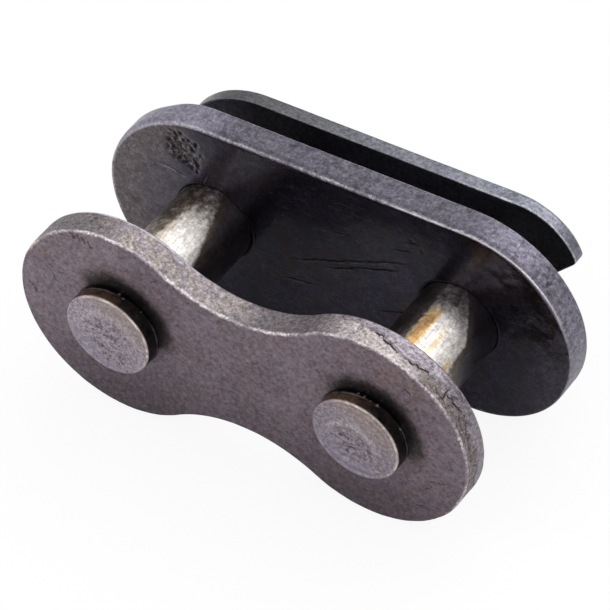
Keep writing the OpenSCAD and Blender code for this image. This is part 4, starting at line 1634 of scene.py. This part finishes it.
class CoverPlateSettings(bpy.types.PropertyGroup):
    rolled_edge: length("Rolled edge", "Rounding of the edge on the bay side", 0.34)
    back_edge: length("Back edge", "Rounding of the edge on the clip side", 0.1)
    hole_diameter: length("Hole", "Diameter of the pin holes", 4.01)
    hole_cone: length("Hole cone", "Cone at the holes' mouths", 0.012)
    oil_film: number("Oil film", "Strength of the thin oil film's shine on the faces", 0.42, 0.0, 1.0)
    face_color: paint("Face", "Blue-black oxide", (0.041, 0.036, 0.062))
    brown_color: paint("Brown", "Brown tint in the oxide", (0.05, 0.029, 0.022))
    # painted light on the faces' ends: the lit end and end colours, with real stains on them
    lit_end_color: paint("Rubbed", "Oxide rubbed thin near the ends", (0.078, 0.063, 0.084))
    end_color: paint("Ends", "Brown-grey steel at the very ends", (0.12, 0.095, 0.1))
    stain_color: paint("Stain", "Dark stains on the rubbed part", (0.035, 0.026, 0.028))
    hair_color: paint("Hairlines", "Hairline scratches on the faces", (0.006, 0.006, 0.008))
    score_color: paint("Scores", "Bottom of the scored lines", (0.003, 0.003, 0.004))
    ledge_color: paint("Ledges", "Lit lower side of the scored lines", (0.13, 0.12, 0.155))
    ridge_color: paint("Ridges", "Raised lines", (0.24, 0.22, 0.25))
    clot_color: paint("Clots", "Dried oil at the right end", (0.016, 0.009, 0.008))
    pit_color: paint("Pits", "Pits in the corroded patch", (0.03, 0.023, 0.025))
    fleck_color: paint("Flecks", "Pale flecks in the corroded patch", (0.23, 0.2, 0.2))
    dot_color: paint("Small pits", "Small pits in the corroded patch", (0.02, 0.014, 0.015))
    seam_color: paint("Seam", "Dark seam round the pins", (0.004, 0.004, 0.004))
    edge_color: paint("Edge", "Cut edge", (0.13, 0.121, 0.152))
    # painted highlight on the rolled lip
    crisp_highlight_color: paint("Crisp line", "Bright line on the upper right", (0.62, 0.6, 0.66))
    worn_color: paint("Worn", "Bare metal along the edges", (0.5, 0.47, 0.5))


class SpringClipSettings(bpy.types.PropertyGroup):
    reach: length("Reach", "From the pin axis to the legs' full length, before rounding", 4.17)
    corner_radius: length("Corner", "Rounding of the legs' outer corners", 3.07)
    tip_radius: length("Tip", "Rounding of the legs' tips", 0.4)
    slot_width: length("Slot", "Width of the slot between the pin seats", 2.5)
    seat_diameter: length("Seats", "Diameter of the pin seats", 3.1)
    mouth_width: length("Mouth", "Width of the flared mouth", 5.1)
    front_edge: length("Front edge", "Rounding of the edges on the cover side", 0.07)
    back_edge: length("Back edge", "Rounding of the edges on the outer side", 0.09)
    face_color: paint("Face", "Blue-black oxide", (0.13, 0.135, 0.165))
    hair_color: paint("Hairlines", "Hairline scratches on the faces", (0.14, 0.14, 0.15))
    edge_color: paint("Edge", "Sheared edge", (0.215, 0.22, 0.262))
    warm_edge_color: paint("Warm edge", "Sheared edge towards the nose", (0.1, 0.1, 0.1))
    worn_color: paint("Worn", "Bare metal along the edges", (0.55, 0.55, 0.58))


# ---------------------------------------------------------------- operators


class LINK_OT_stage(bpy.types.Operator):
    """Builds the floor, the lamps, the sky and the camera"""

    bl_idname = "link.stage"
    bl_label = "Stage"

    def execute(self, context):
        settings = context.scene.link_stage
        self.floor(settings)
        self.lamps(settings)
        self.sky(context.scene, settings)
        self.camera(context.scene, settings)
        context.scene.view_settings.view_transform = "Standard"
        return {"FINISHED"}

    def floor(self, settings):
        """A flat square. To the camera it is partly plain white, and otherwise a pale floor that takes
        the link's shadow."""
        mesh = bpy.data.meshes.new("floor")
        signs = ((-1, -1), (1, -1), (1, 1), (-1, 1))
        corners = [(x * FLOOR_REACH, y * FLOOR_REACH, 0) for x, y in signs]
        mesh.from_pydata(corners, [], [(0, 1, 2, 3)])
        material = bpy.data.materials.new("pale_floor")
        material.use_nodes = True
        w = Wiring(material.node_tree)
        output = material.node_tree.nodes["Material Output"]
        material.node_tree.nodes.remove(material.node_tree.nodes["Principled BSDF"])
        plain = w.add("BsdfDiffuse", {"Color": color(settings.floor_color)})
        white = w.add("Emission", {"Color": (1, 1, 1, 1), "Strength": 1.0})
        path = w.tree.nodes.new("ShaderNodeLightPath").outputs
        share = w.times(path["Is Camera Ray"], settings.floor_share)
        w.feed(output.inputs["Surface"], w.add("MixShader", {0: share, 1: plain, 2: white}))
        mesh.materials.append(material)
        floor = bpy.data.objects.new("floor", mesh)
        bpy.context.scene.collection.objects.link(floor)

    def lamps(self, settings):
        """Three soft square lamps, each turned to the link's middle."""
        middle = Vector((0, 0, PIN_Z * MM))
        for name, place, size, power in (
            ("key_lamp", (0.08, 0.34, 0.44), 0.68, settings.key_power),
            ("fill_lamp", (-0.36, -0.6, 0.5), 0.5, settings.fill_power),
            ("side_lamp", (0.55, -0.6, 0.28), 0.4, settings.side_power),
        ):
            light = bpy.data.lights.new(name, "AREA")
            light.shape, light.size, light.energy = "SQUARE", size, power
            lamp = bpy.data.objects.new(name, light)
            lamp.location = place
            lamp.rotation_mode = "QUATERNION"
            lamp.rotation_quaternion = (middle - Vector(place)).to_track_quat("-Z", "Y")
            lamp.visible_camera = False
            bpy.context.scene.collection.objects.link(lamp)

    def sky(self, scene, settings):
        """Bright overhead, dimmer a little above the horizon, and pale again at the horizon itself."""
        scene.world = bpy.data.worlds.new("studio")
        scene.world.use_nodes = True
        tree = scene.world.node_tree
        w = Wiring(tree)
        way = w.add("TexCoord", {}, out="Generated")
        rise = w.axis(way, "Z")
        dim = w.ramp(rise, 0.07, 0.12, 0.9, settings.walls)
        level = w.number_mix(w.ramp(rise, 0.16, 0.55), dim, settings.sky)
        w.feed(tree.nodes["Background"].inputs["Color"], level)

    def camera(self, scene, settings):
        """A long lens at the given azimuth, elevation and roll round the aim."""
        a, e = settings.azimuth, settings.elevation
        back = Vector((math.sin(a) * math.cos(e), -math.cos(a) * math.cos(e), math.sin(e)))
        data = bpy.data.cameras.new("camera")
        data.sensor_width, data.lens = 36.0, settings.lens
        data.clip_start, data.clip_end = 0.01, 20.0
        camera = bpy.data.objects.new("camera", data)
        camera.location = Vector(settings.aim) + back * settings.distance
        camera.rotation_mode = "QUATERNION"
        level = (-back).to_track_quat("-Z", "Y")
        camera.rotation_quaternion = level @ Quaternion((0, 0, 1), settings.roll)
        scene.collection.objects.link(camera)
        scene.camera = camera


class LINK_OT_pin_plate(bpy.types.Operator):
    """Builds the waisted plate that both pins are riveted into"""

    bl_idname = "link.pin_plate"
    bl_label = "Pin plate"

    def execute(self, context):
        settings = context.scene.link_pin_plate
        sizes = {
            "front_y": PLATE_LOW[1],
            "thickness": PLATE_HIGH[1] - PLATE_LOW[1],
            "roll": even_roll(settings.front_edge / MM, settings.back_edge / MM),
            "hole": context.scene.link_pins.shank_diameter / MM / 2,
            "cone": 0.03,
            "rows": (26, 9),
            "middle_points": 60,
            "wall_rings": 32,
            "round_rings": 5,
        }
        run = waisted_outline(settings.waist_height / MM, step=0.062)
        patches = plate_patches(run, sizes, pin_plate_relief)
        steel = pin_plate_steel(settings)
        make_piece("waisted_pin_plate", patches, steel, "pin_link", ["pin_plate"])
        return {"FINISHED"}


class LINK_OT_pins(bpy.types.Operator):
    """Builds both pins with their riveted heads, clip grooves and coned ends"""

    bl_idname = "link.pins"
    bl_label = "Pins"

    def execute(self, context):
        settings = context.scene.link_pins
        for name, sign in (("left", -1), ("right", 1)):
            patches = pin_patches(sign * PIN_X, settings, PUNCHES[name])
            steel = pin_steel("pin_steel_" + name, settings, FINISHES[name])
            make_piece("riveted_pin_" + name, patches, steel, "pin_link", ["pin_" + name])
        return {"FINISHED"}


class LINK_OT_cover_plate(bpy.types.Operator):
    """Builds the loose round-ended plate that slips on the pins"""

    bl_idname = "link.cover_plate"
    bl_label = "Cover plate"

    def execute(self, context):
        settings = context.scene.link_cover_plate
        sizes = {
            "front_y": COVER_LOW[1],
            "thickness": COVER_HIGH[1] - COVER_LOW[1],
            "roll": cover_roll(settings.rolled_edge / MM, settings.back_edge / MM),
            "hole": settings.hole_diameter / MM / 2,
            "cone": settings.hole_cone / MM,
            "rows": (44, 14),
            "middle_points": 100,
            "wall_rings": 14,
            "round_rings": 9,
        }
        patches = plate_patches(round_ended_outline(step=0.08), sizes, cover_relief)
        steel = cover_steel(settings)
        make_piece("round_ended_cover", patches, steel, "cover", ["cover_plate"])
        return {"FINISHED"}


class LINK_OT_spring_clip(bpy.types.Operator):
    """Builds the spring clip that holds the cover plate on"""

    bl_idname = "link.spring_clip"
    bl_label = "Spring clip"

    def execute(self, context):
        settings = context.scene.link_spring_clip
        patches, steel = clip_patches(settings), clip_steel(settings)
        make_piece("hairpin_clip", patches, steel, "clip", ["spring_clip"])
        return {"FINISHED"}


class LINK_PT_tools(bpy.types.Panel):
    """Lists the pieces of the connecting link"""

    bl_label = "Connecting link"
    bl_idname = "LINK_PT_tools"
    bl_space_type = "VIEW_3D"
    bl_region_type = "UI"
    bl_category = "Link"

    def draw(self, context):
        for operator, group in BUILD_ORDER:
            box = self.layout.box()
            box.operator(operator.bl_idname)
            settings = getattr(context.scene, group)
            for name in settings.__annotations__:
                box.prop(settings, name)


SETTINGS = {
    "link_stage": StageSettings,
    "link_pin_plate": PinPlateSettings,
    "link_pins": PinSettings,
    "link_cover_plate": CoverPlateSettings,
    "link_spring_clip": SpringClipSettings,
}
BUILD_ORDER = (
    (LINK_OT_stage, "link_stage"),
    (LINK_OT_pin_plate, "link_pin_plate"),
    (LINK_OT_pins, "link_pins"),
    (LINK_OT_cover_plate, "link_cover_plate"),
    (LINK_OT_spring_clip, "link_spring_clip"),
)
CLASSES = (*SETTINGS.values(), *(operator for operator, _ in BUILD_ORDER), LINK_PT_tools)


def register():
    """Adds the classes to Blender, and each group of settings to the scene."""
    for cls in CLASSES:
        bpy.utils.register_class(cls)
    for name, cls in SETTINGS.items():
        setattr(bpy.types.Scene, name, PointerProperty(type=cls))


def unregister():
    """Takes the settings and the classes away again."""
    for name in SETTINGS:
        delattr(bpy.types.Scene, name)
    for cls in reversed(CLASSES):
        bpy.utils.unregister_class(cls)


def main():
    """Registers the classes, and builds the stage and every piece."""
    register()
    for operator, _ in BUILD_ORDER:
        if getattr(bpy.ops.link, operator.bl_idname.split(".")[1])() != {"FINISHED"}:
            raise RuntimeError(f"{operator.bl_label} was not built")


if __name__ == "__main__":
    main()
